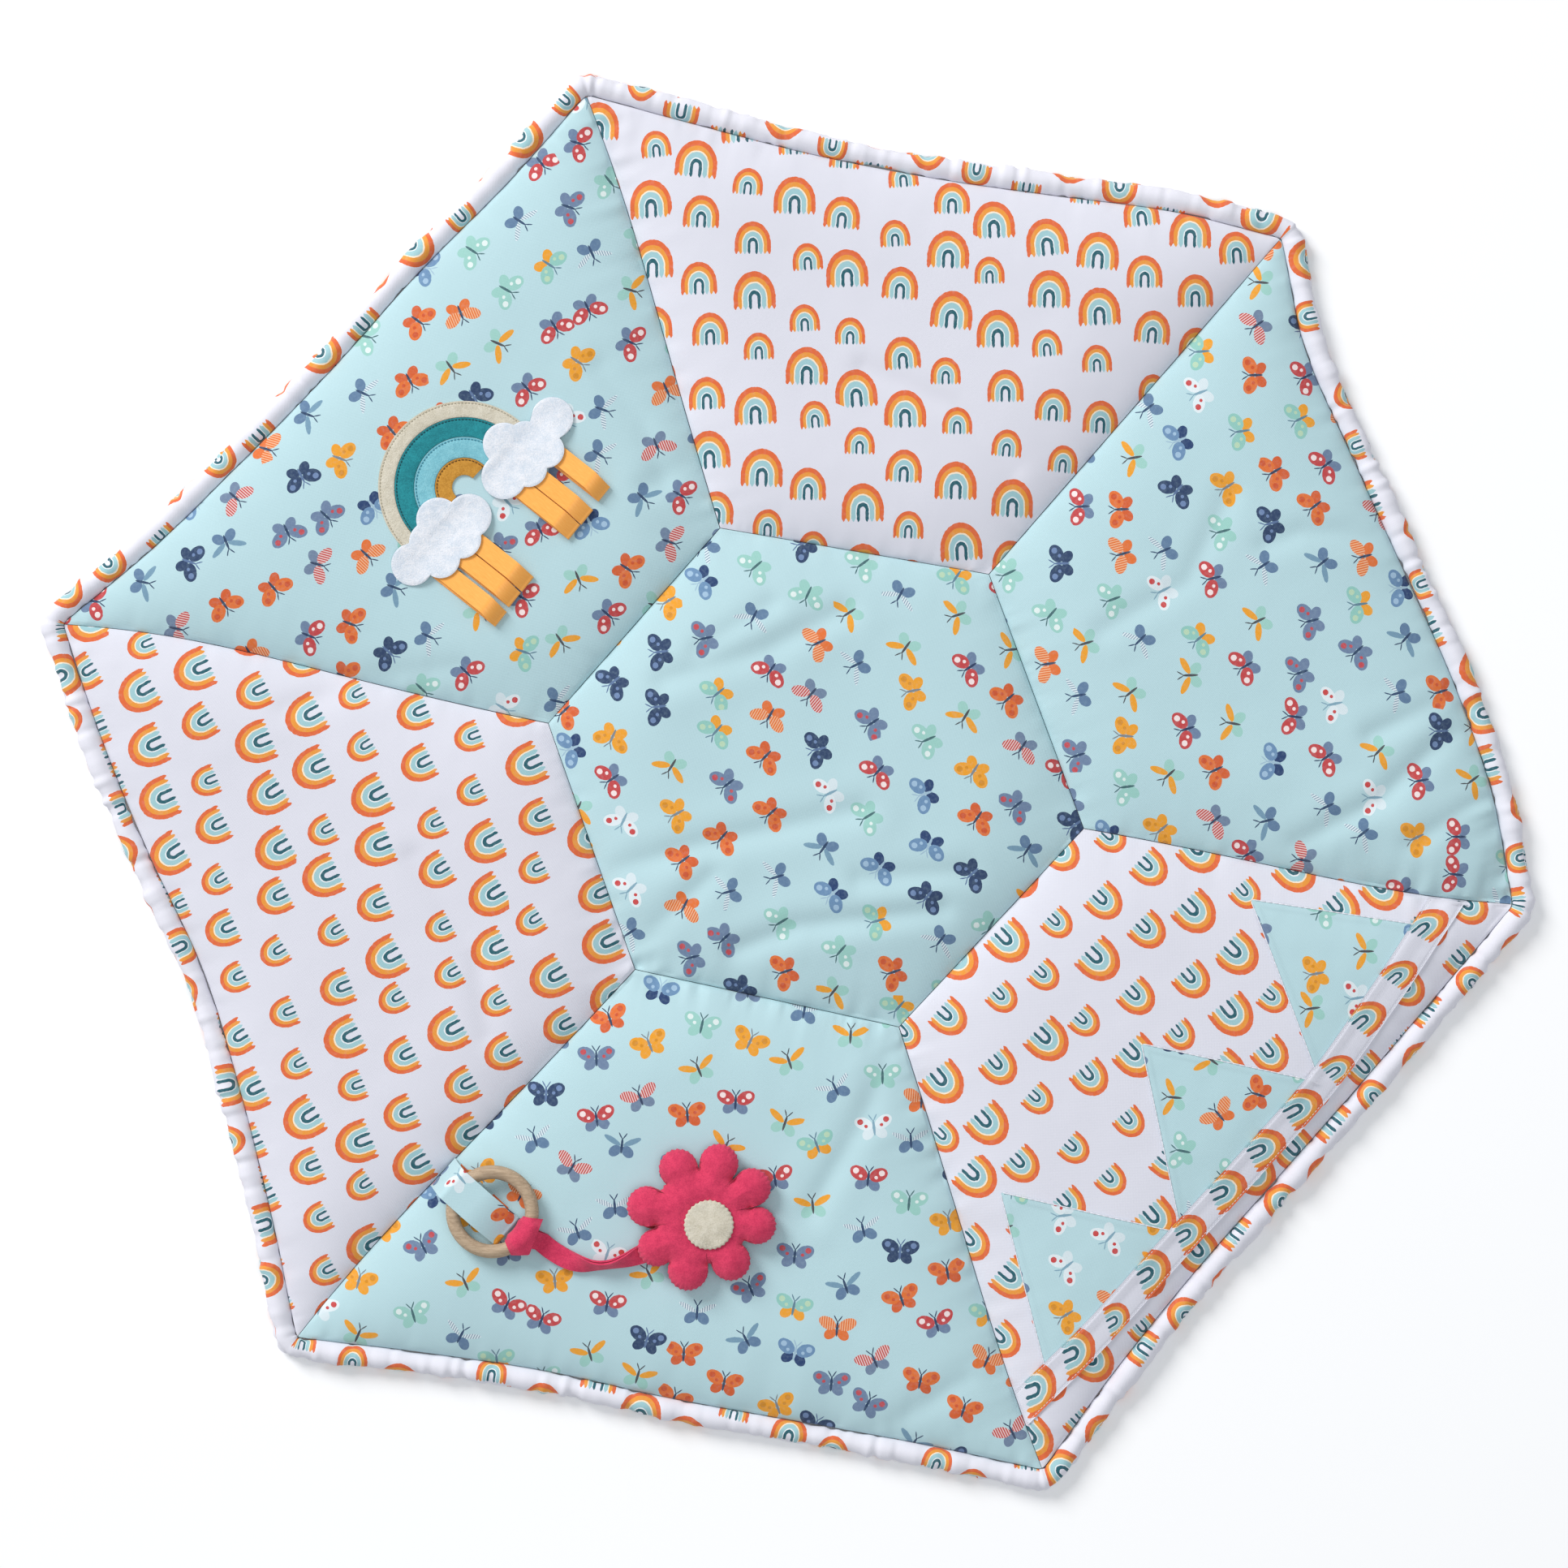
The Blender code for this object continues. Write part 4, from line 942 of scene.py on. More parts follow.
def panel_top(index, place):
    """Height of a panel's cloth over the floor at places on the plan."""
    x = place[..., 0]
    y = place[..., 1]
    margins = panel_margins(index, place)
    share = np.prod([shoulder(distance) for distance, _ in margins], axis=0)
    height = SEAM_HEIGHT + (PUFF_HEIGHT - SEAM_HEIGHT) * share
    for depth, width, course in CREASES:
        gap = course_distance(place, course)
        height = height - depth * share * np.exp(-(gap / (CREASE_SHARPNESS * width)) ** 2)
        height = height + LIP_SHARE * depth * share * np.exp(-((gap - LIP_AWAY * width) / width) ** 2)
    strength = PUCKER_STRENGTH + sum(
        more * np.exp(-((x - px) ** 2 + (y - py) ** 2) / reach ** 2) for px, py, reach, more in PUCKERED
    )
    for edge, (distance, reach) in enumerate(margins):
        inside = np.maximum(distance, 0.0)
        for row, (depth, pitch, far) in enumerate(PUCKERS):
            gather = soft_noise(reach, inside * 0.22, pitch, 40 + 7 * index + edge + 100 * row)
            fade = np.exp(-inside / far) * np.clip(inside / 3.0, 0.25, 1.0)
            height = height + depth * strength * gather * fade
    swell = np.sin(x / SWELL_REACH * 2.3) * np.cos(y / SWELL_REACH * 2.9 + 1.0)
    height = height + SWELL_HEIGHT * swell * share
    (large, large_pitch), (small, small_pitch) = LUMPS
    height = height + large * soft_noise(x, y, large_pitch, 5) * share
    return height + small * soft_noise(x + 0.4 * y, y - 0.4 * x, small_pitch, 6) * share


# %% [markdown]
# ## The panels
#
# A panel is cut as a four-sided piece, or a hexagon, and stuffed. Its mesh is a fine grid between
# its seams, closer near the seams where the cloth turns down. One flat face closes it underneath,
# where it lies on the backing.

# %% Seven puffed panels
PANEL_ROWS = 120
PANEL_COLUMNS = 230
HEXAGON_SIDE_STEPS = 56
HEXAGON_RINGS = 66
PANEL_PRINT_SLIDE = (13.0, 29.0)
CENTRE_PRINT_SLIDE = (7.0, 3.0)
PRINTS = {"rainbow": rainbow_print, "butterfly": butterfly_print}


def grade(count, bias):
    """Fractions from 0 to 1 that crowd towards both ends."""
    even = np.linspace(0, 1, count)
    return (1 - bias) * even + bias * 0.5 * (1 - np.cos(math.pi * even))


def outer_panel(index):
    """One four-sided puffed panel."""
    name, print_name, up, _ = SIDES[index]
    u = grade(PANEL_COLUMNS, 0.6)
    v = grade(PANEL_ROWS, 0.5)[::-1, None, None]
    edge = np.array([panel_edge(index, t) for t in u])
    inner_run = seam_corner(index + 1) - seam_corner(index)
    inner_line = inner_run / np.hypot(*inner_run)
    inner = seam_corner(index) + inner_run * u[:, None]
    inner = inner + np.array((inner_line[1], -inner_line[0])) * SEAM_HALF_GAP
    first = seam_line(index)[3] * (seam_bow(index, v) - SEAM_HALF_GAP)
    last = seam_line(index + 1)[3] * (seam_bow(index + 1, v) + SEAM_HALF_GAP)
    place = inner + (edge - inner) * v + first * (1 - u[:, None]) + last * u[:, None]
    upper = np.concatenate([place, panel_top(index, place)[..., None]], -1).reshape(-1, 3)
    faces, rim = grid_faces(PANEL_ROWS, PANEL_COLUMNS)
    lower = upper[rim] * (1, 1, 0) + (0, 0, PANEL_BASE)
    points = np.concatenate([upper, lower])
    faces = close_on_floor(faces, rim, len(upper))
    grain = printed(points, up, [step * index for step in PANEL_PRINT_SLIDE])
    piece = make_piece(name + "_cloth", points, faces, PRINTS[print_name], grain)
    sew_on(piece, print_name + "_cotton", name)


def centre_panel():
    """The puffed hexagon in the middle."""
    corners = [seam_corner(i) for i in range(6)]
    edges = list(zip(corners, corners[1:] + corners[:1]))
    middle = sum(corners) / 6
    steps = grade(HEXAGON_SIDE_STEPS + 1, 0.4)[:-1, None]
    outline = np.concatenate([start + (end - start) * steps for start, end in edges])
    nearest = min(line_margin(middle, *edge)[0] for edge in edges)
    sizes = np.cos(np.linspace(0, math.pi / 2, HEXAGON_RINGS + 1)[:-1]) ** 0.9
    sizes = sizes * (1 - SEAM_HALF_GAP / nearest)
    place = (middle + (outline - middle) * sizes[:, None, None]).reshape(-1, 2)
    place = np.concatenate([place, middle[None]])
    upper = np.concatenate([place, panel_top(6, place)[:, None]], -1)
    faces, rim = ring_faces(HEXAGON_RINGS, len(outline))
    lower = upper[rim] * (1, 1, 0) + (0, 0, PANEL_BASE)
    points = np.concatenate([upper, lower])
    faces = close_on_floor(faces, rim, len(upper))
    grain = printed(points, CENTRE_PRINT_UP, CENTRE_PRINT_SLIDE)
    piece = make_piece("panel_centre_cloth", points, faces, butterfly_print, grain)
    sew_on(piece, "butterfly_cotton", "panel_centre")


for panel_number in range(6):
    outer_panel(panel_number)
centre_panel()
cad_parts["backing"].data.materials[0] = backing_cotton

# %% [markdown]
# ## The binding
#
# A padded strip of the rainbow cotton is rolled round the edge and stitched down in the ditch next
# to the panels. Rolled cloth on a curve gathers, so the strip's width and height change a little
# every centimetre, with finer gathers between. Its print runs round the roll, with the rainbows'
# tops towards the middle of the mat.

# %% Rolled binding
STATIONS_A_SIDE = 330
BINDING_SIDES = 20
DITCH_LAP = 0.045
GATHERS = (
    # share of the size, pitch along the strip, share of the pitch kept round it
    (0.12, 15.0, 0.25),
    (0.17, 5.4, 0.12),
    (0.07, 28.0, 0.10),
)
GATHER_RADIUS = 8.0
DITCH_DIP = 1.6
CLOTH_ROUND_ROLL = 3.0 * BINDING_WIDTH


def travel(course):
    """Distance travelled from the start of a course to each of its points."""
    steps = np.linalg.norm(np.diff(course, axis=0), axis=1)
    return np.concatenate([[0.0], np.cumsum(steps)])


def tube_faces(stations, sides):
    """Faces of a closed tube, by its stations and the sides of its section."""
    index = np.arange(stations * sides).reshape(stations, sides)
    ahead = np.roll(index, -1, axis=0)
    return np.stack([index, ahead, np.roll(ahead, -1, axis=1), np.roll(index, -1, axis=1)], -1)


def binding():
    """The rolled strip round the whole edge."""
    stations = [edge_station(side, t) for side in range(6)
                for t in np.linspace(0, 1, STATIONS_A_SIDE, endpoint=False)]
    edge = np.array([station[0] for station in stations])
    inward = np.array([station[1] for station in stations])
    travelled = travel(np.concatenate([edge, edge[:1]]))
    turn = np.arange(BINDING_SIDES) * math.tau / BINDING_SIDES
    reach = np.repeat(travelled[:-1, None], BINDING_SIDES, 1)
    rounds = np.repeat(turn[None] * GATHER_RADIUS, len(edge), 0)
    swell = 1 + sum(share * soft_noise(reach, rounds * kept, pitch, 71 + n)
                    for n, (share, pitch, kept) in enumerate(GATHERS))
    core = edge + inward * (BINDING_WIDTH / 2)
    upper_half = turn < math.pi
    spread = np.where(np.cos(turn) > 0, swell, np.minimum(swell, 1.0) + DITCH_LAP)
    aside = -np.cos(turn) * BINDING_WIDTH / 2 * spread
    rise = BINDING_HEIGHT / 2 * (1 + np.sin(turn) * np.where(upper_half, swell, 1.0))
    rise = rise - np.where(upper_half, DITCH_DIP * np.clip(-np.cos(turn), 0, 1) * np.sin(turn), 0.0)
    flat = core[:, None] + inward[:, None] * aside[..., None]
    points = np.concatenate([flat, rise[..., None]], -1).reshape(-1, 3)
    faces = tube_faces(len(edge), BINDING_SIDES)
    u = np.stack([travelled[:-1], travelled[1:]], -1)
    v = np.stack([turn, turn + math.tau / BINDING_SIDES], -1) / math.tau * CLOTH_ROUND_ROLL
    grain = np.empty((*faces.shape, 2))
    grain[..., 0] = u[:, None, [0, 1, 1, 0]]
    grain[..., 1] = v[None, :, [0, 0, 1, 1]]
    faces = faces.reshape(-1, 4).tolist()
    piece = make_piece("binding_cloth", points, faces, binding_print, grain.reshape(-1, 2))
    sew_on(piece, "binding_cotton", "binding")
    print("binding", round(travelled[-1]), "mm round")


binding()

# %% [markdown]
# ## Sewn lines
#
# Topstitching is a row of short threads that dip into the cloth at both ends. Each one is a thin
# round bar with narrow ends that rises a little in its middle. All the stitches of one thread are one
# mesh, because a maker would wind them from one reel too.

# %% Stitches
THREAD_SIDES = 6
THREAD_PROFILE = (
    # share of the stitch, share of the thread's thickness, share of the rise
    (0.0, 0.3, -0.6),
    (0.18, 0.95, 0.5),
    (0.5, 1.0, 1.0),
    (0.82, 0.95, 0.5),
    (1.0, 0.3, -0.6),
)


def stitches(name, bars, thickness, finish, slot):
    """Lay short threads, each from a start to an end, over the cloth."""
    turn = np.arange(THREAD_SIDES) * math.tau / THREAD_SIDES
    points = []
    faces = []
    for start, end in bars:
        run = end - start
        run = run / np.linalg.norm(run)
        side = np.cross((0.0, 0.0, 1.0), run)
        side = side / np.linalg.norm(side)
        up = np.cross(run, side)
        first = len(points)
        for share, width, rise in THREAD_PROFILE:
            middle = start + (end - start) * share + up * (rise * thickness / 2)
            ring = np.cos(turn)[:, None] * side + np.sin(turn)[:, None] * up
            points += list(middle + ring * (width * thickness / 2))
        rows = len(THREAD_PROFILE)
        for r in range(rows - 1):
            for k in range(THREAD_SIDES):
                m = (k + 1) % THREAD_SIDES
                a = first + r * THREAD_SIDES
                faces.append((a + k, a + m, a + THREAD_SIDES + m, a + THREAD_SIDES + k))
        faces.append(tuple(range(first + THREAD_SIDES - 1, first - 1, -1)))
        faces.append(tuple(range(first + (rows - 1) * THREAD_SIDES, first + rows * THREAD_SIDES)))
    sew_on(make_piece(name, np.array(points), faces, finish), slot)


def stitch_bars(course, length, space):
    """Cut a course of points in space into stitches."""
    travelled = travel(course)
    count = int(travelled[-1] / (length + space))
    starts = np.arange(count) * travelled[-1] / count
    bars = []
    for start in starts:
        pair = [[np.interp(place, travelled, course[:, k]) for k in range(3)]
                for place in (start, start + length)]
        bars.append((np.array(pair[0]), np.array(pair[1])))
    return bars


# %% [markdown]
# ## The felt rainbow
#
# Four half rings of felt lie side by side on the upper left panel, each topstitched near its outer
# edge. The stitches pull a shallow groove into the felt, so a few rows of points lie close together
# there.

# %% Felt half rings
UPPER_LEFT = 1
RAINBOW_CENTRE = np.array((-258.6, 235.2))
RAINBOW_UP = math.radians(138)
BAND_HALF_TURN = math.radians(91)
FELT_THICK = 1.5
REST_GAP = 0.4
STITCH_INSET = 1.5
GROOVE_DEPTH = 0.55
EDGE_ROUNDING = 0.35
BAND_STITCH = (2.2, 0.5)
BANDS = (
    # node, slot, finish, thread, outer radius, inner radius
    ("band_cream", "cream_felt", cream_felt, cream_thread, 68.7, 55.9),
    ("band_teal", "teal_felt", teal_felt, teal_thread, 55.5, 40.3),
    ("band_light_blue", "light_blue_felt", blue_felt, blue_thread, 39.9, 23.7),
    ("band_ochre", "ochre_felt", ochre_felt, brown_thread, 23.3, 9.7),
)


def layered_piece(name, place, top, under, net, finish, grain=None):
    """Make a thin piece from the levels of its two layers; its net is its faces and rim."""
    upper = np.concatenate([place, top[..., None]], -1).reshape(-1, 3)
    lower = np.concatenate([place, under[..., None]], -1).reshape(-1, 3)
    faces, rim = net
    if grain is not None:
        grain = np.concatenate([grain, grain])
    points = np.concatenate([upper, lower])
    return make_piece(name, points, close_sheet(faces, rim, len(upper)), finish, grain)


def felt_band(name, slot, finish, sewing, outer, inner):
    """One felt half ring with its topstitching."""
    turn = RAINBOW_UP + BAND_HALF_TURN * np.linspace(-1, 1, 110)
    radii = np.array((0.0, 0.4, STITCH_INSET - 0.6, STITCH_INSET, STITCH_INSET + 0.8, STITCH_INSET + 2))
    radii = np.concatenate([outer - radii, np.linspace(outer - 6.5, inner + 0.5, 5), [inner]])
    groove = GROOVE_DEPTH * np.exp(-((outer - radii - STITCH_INSET) / 0.8) ** 2)
    rounded = EDGE_ROUNDING * (np.exp(-(outer - radii) / 0.4) + np.exp(-(radii - inner) / 0.4))
    spokes = np.stack([np.cos(turn), np.sin(turn)], -1)
    place = RAINBOW_CENTRE + radii[:, None, None] * spokes
    under = panel_top(UPPER_LEFT, place) + REST_GAP
    fuzz = 0.12 * soft_noise(place[..., 0], place[..., 1], 5.0, 21)
    top = under + FELT_THICK - (groove + rounded)[:, None] + fuzz
    net = grid_faces(len(radii), len(turn))
    grain = printed(place.reshape(-1, 2), 0.0)
    piece = layered_piece(name + "_felt", place, top, under, net, finish, grain)
    sew_on(piece, slot, name)
    course = np.concatenate([place[3], top[3][:, None] + 0.15], -1)
    stitches(name + "_stitches", stitch_bars(course, *BAND_STITCH), 0.85, sewing, slot)


for band in BANDS:
    felt_band(*band)

# %% [markdown]
# ## Strips of ribbon, cloth and felt
#
# A strip is a flat band carried along a course in space. Each station has a middle, a vector to one
# edge and a vector through the strip. The same helper makes the ribbon loops, the cloth round the
# ring and the strap of the flower.


# %% Strip helpers
def strip(name, stations, columns, finish, slide=0.0):
    """Carry a flat strip along its stations, closed all round."""
    middle, across, through = (np.array([station[k] for station in stations]) for k in range(3))
    spread = np.linspace(1, -1, columns)[None, :, None]
    face = middle[:, None] + across[:, None] * spread
    upper = (face + through[:, None]).reshape(-1, 3)
    lower = (face - through[:, None]).reshape(-1, 3)
    travelled = travel(middle)
    half = np.linalg.norm(across, axis=1)
    grain = np.stack([-spread[0, :, 0][None] * half[:, None], travelled[:, None] + 0 * spread[0, :, 0]], -1)
    grain = grain.reshape(-1, 2) + (slide, slide)
    faces, rim = grid_faces(len(stations), columns)
    piece = make_piece(name, np.concatenate([upper, lower]), close_sheet(faces, rim, len(upper)),
                       finish, np.concatenate([grain, grain]))
    return piece, travelled[-1]


def folded(course, across, thick):
    """Stations of a strip along a course that turns only about its own width."""
    course = np.asarray(course)
    ahead = np.concatenate([course[1:], course[-1:]])
    behind = np.concatenate([course[:1], course[:-1]])
    tangent = ahead - behind
    tangent = tangent / np.linalg.norm(tangent, axis=1)[:, None]
    across = np.asarray(across, float)
    through = np.cross(across / np.linalg.norm(across), tangent) * (-thick / 2)
    return [(place, across, normal) for place, normal in zip(course, through)]


def resting_level(panel, place, to_edge, thick):
    """Level of a strip's middle where it lies on a panel, as wide as to_edge either way."""
    looks = [panel_top(panel, place + to_edge * s) for s in (-1, -0.5, 0, 0.5, 1)]
    return np.max(looks, axis=0) + REST_GAP + thick / 2


def lay_and_fold(place, level, run, radius, turns):
    """Course of a strip that lies along its places and then turns up round a fold."""
    course = [np.array((*p, z)) for p, z in zip(place, level)]
    centre = course[-1] + (0, 0, radius)
    for turn in np.linspace(0, math.pi, turns)[1:-1]:
        out = run * math.sin(turn) * radius
        course.append(centre + (*out, -math.cos(turn) * radius))
    return course


# %% [markdown]
# ## Ribbon loops
#
# Six short satin ribbons are folded in half, and their ends are sewn under the clouds. Satin is
# springy, so each fold stays round and open, and the upper layer climbs towards it.

# %% Six satin loops
RIBBON_WIDTH = 15.0
RIBBON_THICK = 0.7
RIBBON_LENGTH = 62.0
RIBBON_DIRECTION = math.radians(-38.4)
RIBBON_FOLD_RADIUS = 1.5
RIBBON_CREST_BACK = 14.0
RIBBON_ROOT_GAP = 1.4
RIBBONS = (
    # node, middle of the folded end x, y, height of the crest, slip of the upper layer, roundness
    ("ribbon_lower_1", -229.3, 129.8, 10.6, 1.9, 2.0),
    ("ribbon_lower_2", -218.2, 145.2, 9.0, 1.4, 1.7),
    ("ribbon_lower_3", -207.8, 157.6, 9.8, 1.2, 1.4),
    ("ribbon_upper_1", -170.8, 199.1, 9.0, 1.0, 1.2),
    ("ribbon_upper_2", -160.6, 211.0, 8.4, 1.2, 1.4),
    ("ribbon_upper_3", -147.0, 229.4, 10.6, 1.9, 2.0),
)


def ribbon_loop(name, x, y, crest, slip, roundness):
    """One folded ribbon: lower layer, tight fold, slanting end and upper layer."""
    run = direction(RIBBON_DIRECTION)
    side = np.array((-run[1], run[0]))
    across = np.array((*side * RIBBON_WIDTH / 2, 0.0))
    fold = np.array((x, y)) - run * (RIBBON_FOLD_RADIUS + RIBBON_THICK / 2)
    back = np.linspace(RIBBON_LENGTH, 0, 40)
    place = fold - back[:, None] * run
    level = resting_level(UPPER_LEFT, place, side * RIBBON_WIDTH / 2, RIBBON_THICK)
    course = lay_and_fold(place, level, run, RIBBON_FOLD_RADIUS, 10)
    fold_gap = 2 * RIBBON_FOLD_RADIUS
    for p, z, far in zip(place[::-1], level[::-1], back[::-1]):
        if far < RIBBON_CREST_BACK:
            climb = 1 - (1 - far / RIBBON_CREST_BACK) ** roundness
            gap = fold_gap + (crest - fold_gap) * climb
        else:
            share = (far - RIBBON_CREST_BACK) / (RIBBON_LENGTH - RIBBON_CREST_BACK)
            gap = RIBBON_ROOT_GAP + (crest - RIBBON_ROOT_GAP) * (1 - share) ** 1.1
        moved = side * slip * min(far / RIBBON_CREST_BACK, 1.0)
        course.append(np.array((*(p + moved), z + gap)))
    piece, length = strip(name + "_satin", folded(course, across, RIBBON_THICK), 7, orange_satin)
    sew_on(piece, "satin_ribbon", name)
    print(name, round(length), "mm long flat")
    return piece


ribbon_pieces = [ribbon_loop(*row) for row in RIBBONS]

# %% [markdown]
# ## The clouds
#
# Each cloud is one piece of white felt with round lobes, laid over the rainbow's ends and the
# ribbons' roots. Felt is stiff, so it doesn't follow every step beneath it: the cloud's height is the
# highest thing within a few millimetres, then smoothed.

# %% Two felt clouds
CLOUDS = (
    # node, middle, lobes as x, y and radius
    ("cloud_upper", (-209.9, 261.8), ((-188.6, 290.3, 16.8), (-193.1, 264.4, 14.3), (-226.8, 269.6, 16.9),
                                      (-209.9, 272.8, 15.0), (-226.8, 243.6, 18.1), (-207.4, 250.1, 15.0))),
    ("cloud_lower", (-274.8, 194.4), ((-254.7, 212.0, 17.9), (-279.3, 209.3, 17.5), (-285.8, 191.2, 16.8),
                                      (-300.0, 173.7, 16.9), (-277.3, 178.2, 15.6), (-260.5, 193.8, 15.6))),
)
CLOUD_POINTS = 180
CLOUD_RINGS = 22
CLOUD_STIFFNESS = 11.0
CLOUD_SOFTNESS = 2.5
CLOUD_NEAR = 5.0
CLOUD_WIDE = 9.0


def lobed_outline(middle, lobes, count):
    """Outline of overlapping discs, seen from a middle point."""
    turn = np.arange(count) * math.tau / count
    rays = np.stack([np.cos(turn), np.sin(turn)], -1)
    reach = np.zeros(count)
    for x, y, radius in lobes:
        to_lobe = np.array((x, y)) - middle
        along = rays @ to_lobe
        aside = to_lobe @ to_lobe - along ** 2
        met = radius ** 2 > aside
        reach[met] = np.maximum(reach[met], along[met] + np.sqrt(radius ** 2 - aside[met]))
    return middle + rays * reach[:, None]


def tree_of(pieces):
    """One tree over several pieces, in plan millimetres, to look down on."""
    points = []
    faces = []
    for piece in pieces:
        first = len(points)
        points += [(v.co.x / MM - PLAN_SHIFT[0], v.co.y / MM - PLAN_SHIFT[1], v.co.z / MM)
                   for v in piece.data.vertices]
        faces += [tuple(first + i for i in face.vertices) for face in piece.data.polygons]
    return BVHTree.FromPolygons(points, faces)


def look_down(tree, place, reach):
    """Highest point of a tree within a reach of each place; nothing there gives zero."""
    around = [(0.0, 0.0)]
    for share in (0.5, 1.0):
        around += [tuple(direction(k * math.tau / 10) * reach * share) for k in range(10)]
    found = np.zeros(len(place))
    for n, (x, y) in enumerate(place):
        for dx, dy in around:
            hit = tree.ray_cast(Vector((x + dx, y + dy, 300.0)), Vector((0, 0, -1)))[0]
            if hit is not None:
                found[n] = max(found[n], hit.z)
    return found


def cloud(name, middle, lobes):
    """One felt cloud over what lies beneath it."""
    middle = np.array(middle)
    outline = lobed_outline(middle, lobes, CLOUD_POINTS)
    sizes = np.linspace(1, 0, CLOUD_RINGS + 1)[:-1]
    place = (middle + (outline - middle) * sizes[:, None, None]).reshape(-1, 2)
    place = np.concatenate([place, middle[None]])
    ground = panel_top(UPPER_LEFT, place)
    beneath = np.maximum(look_down(cloud_bed, place, CLOUD_NEAR), ground) + REST_GAP
    wide = np.maximum(look_down(cloud_bed, place, CLOUD_WIDE), ground) + REST_GAP
    gaps = np.hypot(*(place[:, None] - place[None]).transpose(2, 0, 1))
    weights = np.exp(-(gaps / CLOUD_STIFFNESS) ** 2)
    smooth = weights @ wide / weights.sum(axis=1)
    under = np.maximum(smooth, beneath)
    soften = np.exp(-(gaps / CLOUD_SOFTNESS) ** 2)
    under = np.maximum(soften @ under / soften.sum(axis=1), beneath - 0.2)
    fuzz = 0.2 * soft_noise(place[:, 0], place[:, 1], 7.0, 33)
    edge = np.concatenate([np.repeat(sizes, CLOUD_POINTS), [0.0]])
    top = under + FELT_THICK + fuzz - 0.5 * (edge > 0.995)
    net = ring_faces(CLOUD_RINGS, CLOUD_POINTS)
    piece = layered_piece(name + "_felt", place, top, under, net, white_felt, printed(place, 0.0))
    sew_on(piece, "white_felt", name)
    wide, long = (outline.max(axis=0) - outline.min(axis=0)) * MM
    print(name, "flat", round(wide * 1000), "by", round(long * 1000), "mm")


bands_made = [bpy.data.objects[band[0] + "_felt"] for band in BANDS]
cloud_bed = tree_of(bands_made + ribbon_pieces)
for row in CLOUDS:
    cloud(*row)

# %% [markdown]
# ## The wooden ring
#
# A turned beech ring, round in section and about 74 mm across, lies on the bottom panel.

# %% Beech ring
BOTTOM = 3
RING_RADIUS = 31.5
RING_SECTION = 5.5
RING_STATIONS = 160
RING_SIDES = 32
ring_level = (ring_low.z + ring_high.z) / 2 / MM


def wooden_ring():
    """The turned ring."""
    around = np.arange(RING_STATIONS) * math.tau / RING_STATIONS
    turn = np.arange(RING_SIDES) * math.tau / RING_SIDES
    out = RING_RADIUS + RING_SECTION * np.cos(turn)
    x = RING_CENTRE[0] + np.cos(around)[:, None] * out
    y = RING_CENTRE[1] + np.sin(around)[:, None] * out
    z = ring_level + RING_SECTION * np.sin(turn)[None] + 0 * x
    points = np.stack([x, y, z], -1).reshape(-1, 3)
    faces = tube_faces(RING_STATIONS, RING_SIDES).reshape(-1, 4).tolist()
    piece = make_piece("beech_ring", points, faces, beech)
    sew_on(piece, "beech", "wooden_ring")


wooden_ring()

# %% [markdown]
# ## Cloth loop of the ring
#
# A doubled strip of the butterfly cotton comes out of the seam, runs over the ring's rim, folds back
# inside the ring and returns under the rim to the seam.

# %% Loop of butterfly cotton
LOOP_WIDTH = 29.0
LOOP_LENGTH = 67.5
LOOP_START = np.array((-276.0, -311.5))
LOOP_DIRECTION = math.radians(-41.7)
LOOP_FOLD_RADIUS = 2.2
CLOTH_THICK = 1.2


def ring_loop():
    """The strip over, inside and under the ring."""
    run = direction(LOOP_DIRECTION)
    side = np.array((-run[1], run[0]))
    across = np.array((*side * LOOP_WIDTH / 2, 0.0))
    over_ring = ring_level + RING_SECTION + REST_GAP + CLOTH_THICK / 2
    ring_start = np.hypot(*(RING_CENTRE - LOOP_START)) - RING_RADIUS - RING_SECTION
    ring_end = ring_start + 4 * RING_SECTION
    along = np.linspace(0, LOOP_LENGTH, 40)
    place = LOOP_START + along[:, None] * run
    level = resting_level(BOTTOM, place, side * LOOP_WIDTH / 2, CLOTH_THICK)
    course = lay_and_fold(place, level, run, LOOP_FOLD_RADIUS, 12)
    fold_top = level[-1] + 2 * LOOP_FOLD_RADIUS
    root_top = level[0] + CLOTH_THICK + REST_GAP
    for reach, p in zip(along[::-1], place[::-1]):
        if reach > ring_end:
            share = (LOOP_LENGTH - reach) / (LOOP_LENGTH - ring_end)
            height = fold_top + (over_ring - fold_top) * math.sin(share * math.pi / 2)
        else:
            share = min(reach / (ring_start - 2.0), 1.0)
            height = root_top + (over_ring - root_top) * share ** 0.8
        course.append(np.array((*p, height)))
    piece, length = strip("ring_loop_cloth", folded(course, across, CLOTH_THICK), 11, butterfly_print, 21.0)
    sew_on(piece, "butterfly_cotton", "ring_loop")
    print("ring loop", round(length), "mm long flat")


ring_loop()

# %% [markdown]
# ## Felt strap
#
# A strip of pink-red felt is passed round the ring and doubled back on itself, and both ends go
# under the flower. Between them it turns on edge, as a soft strip does when it bends sideways. Where
# it crosses itself on the ring, a flap of it lies over everything.

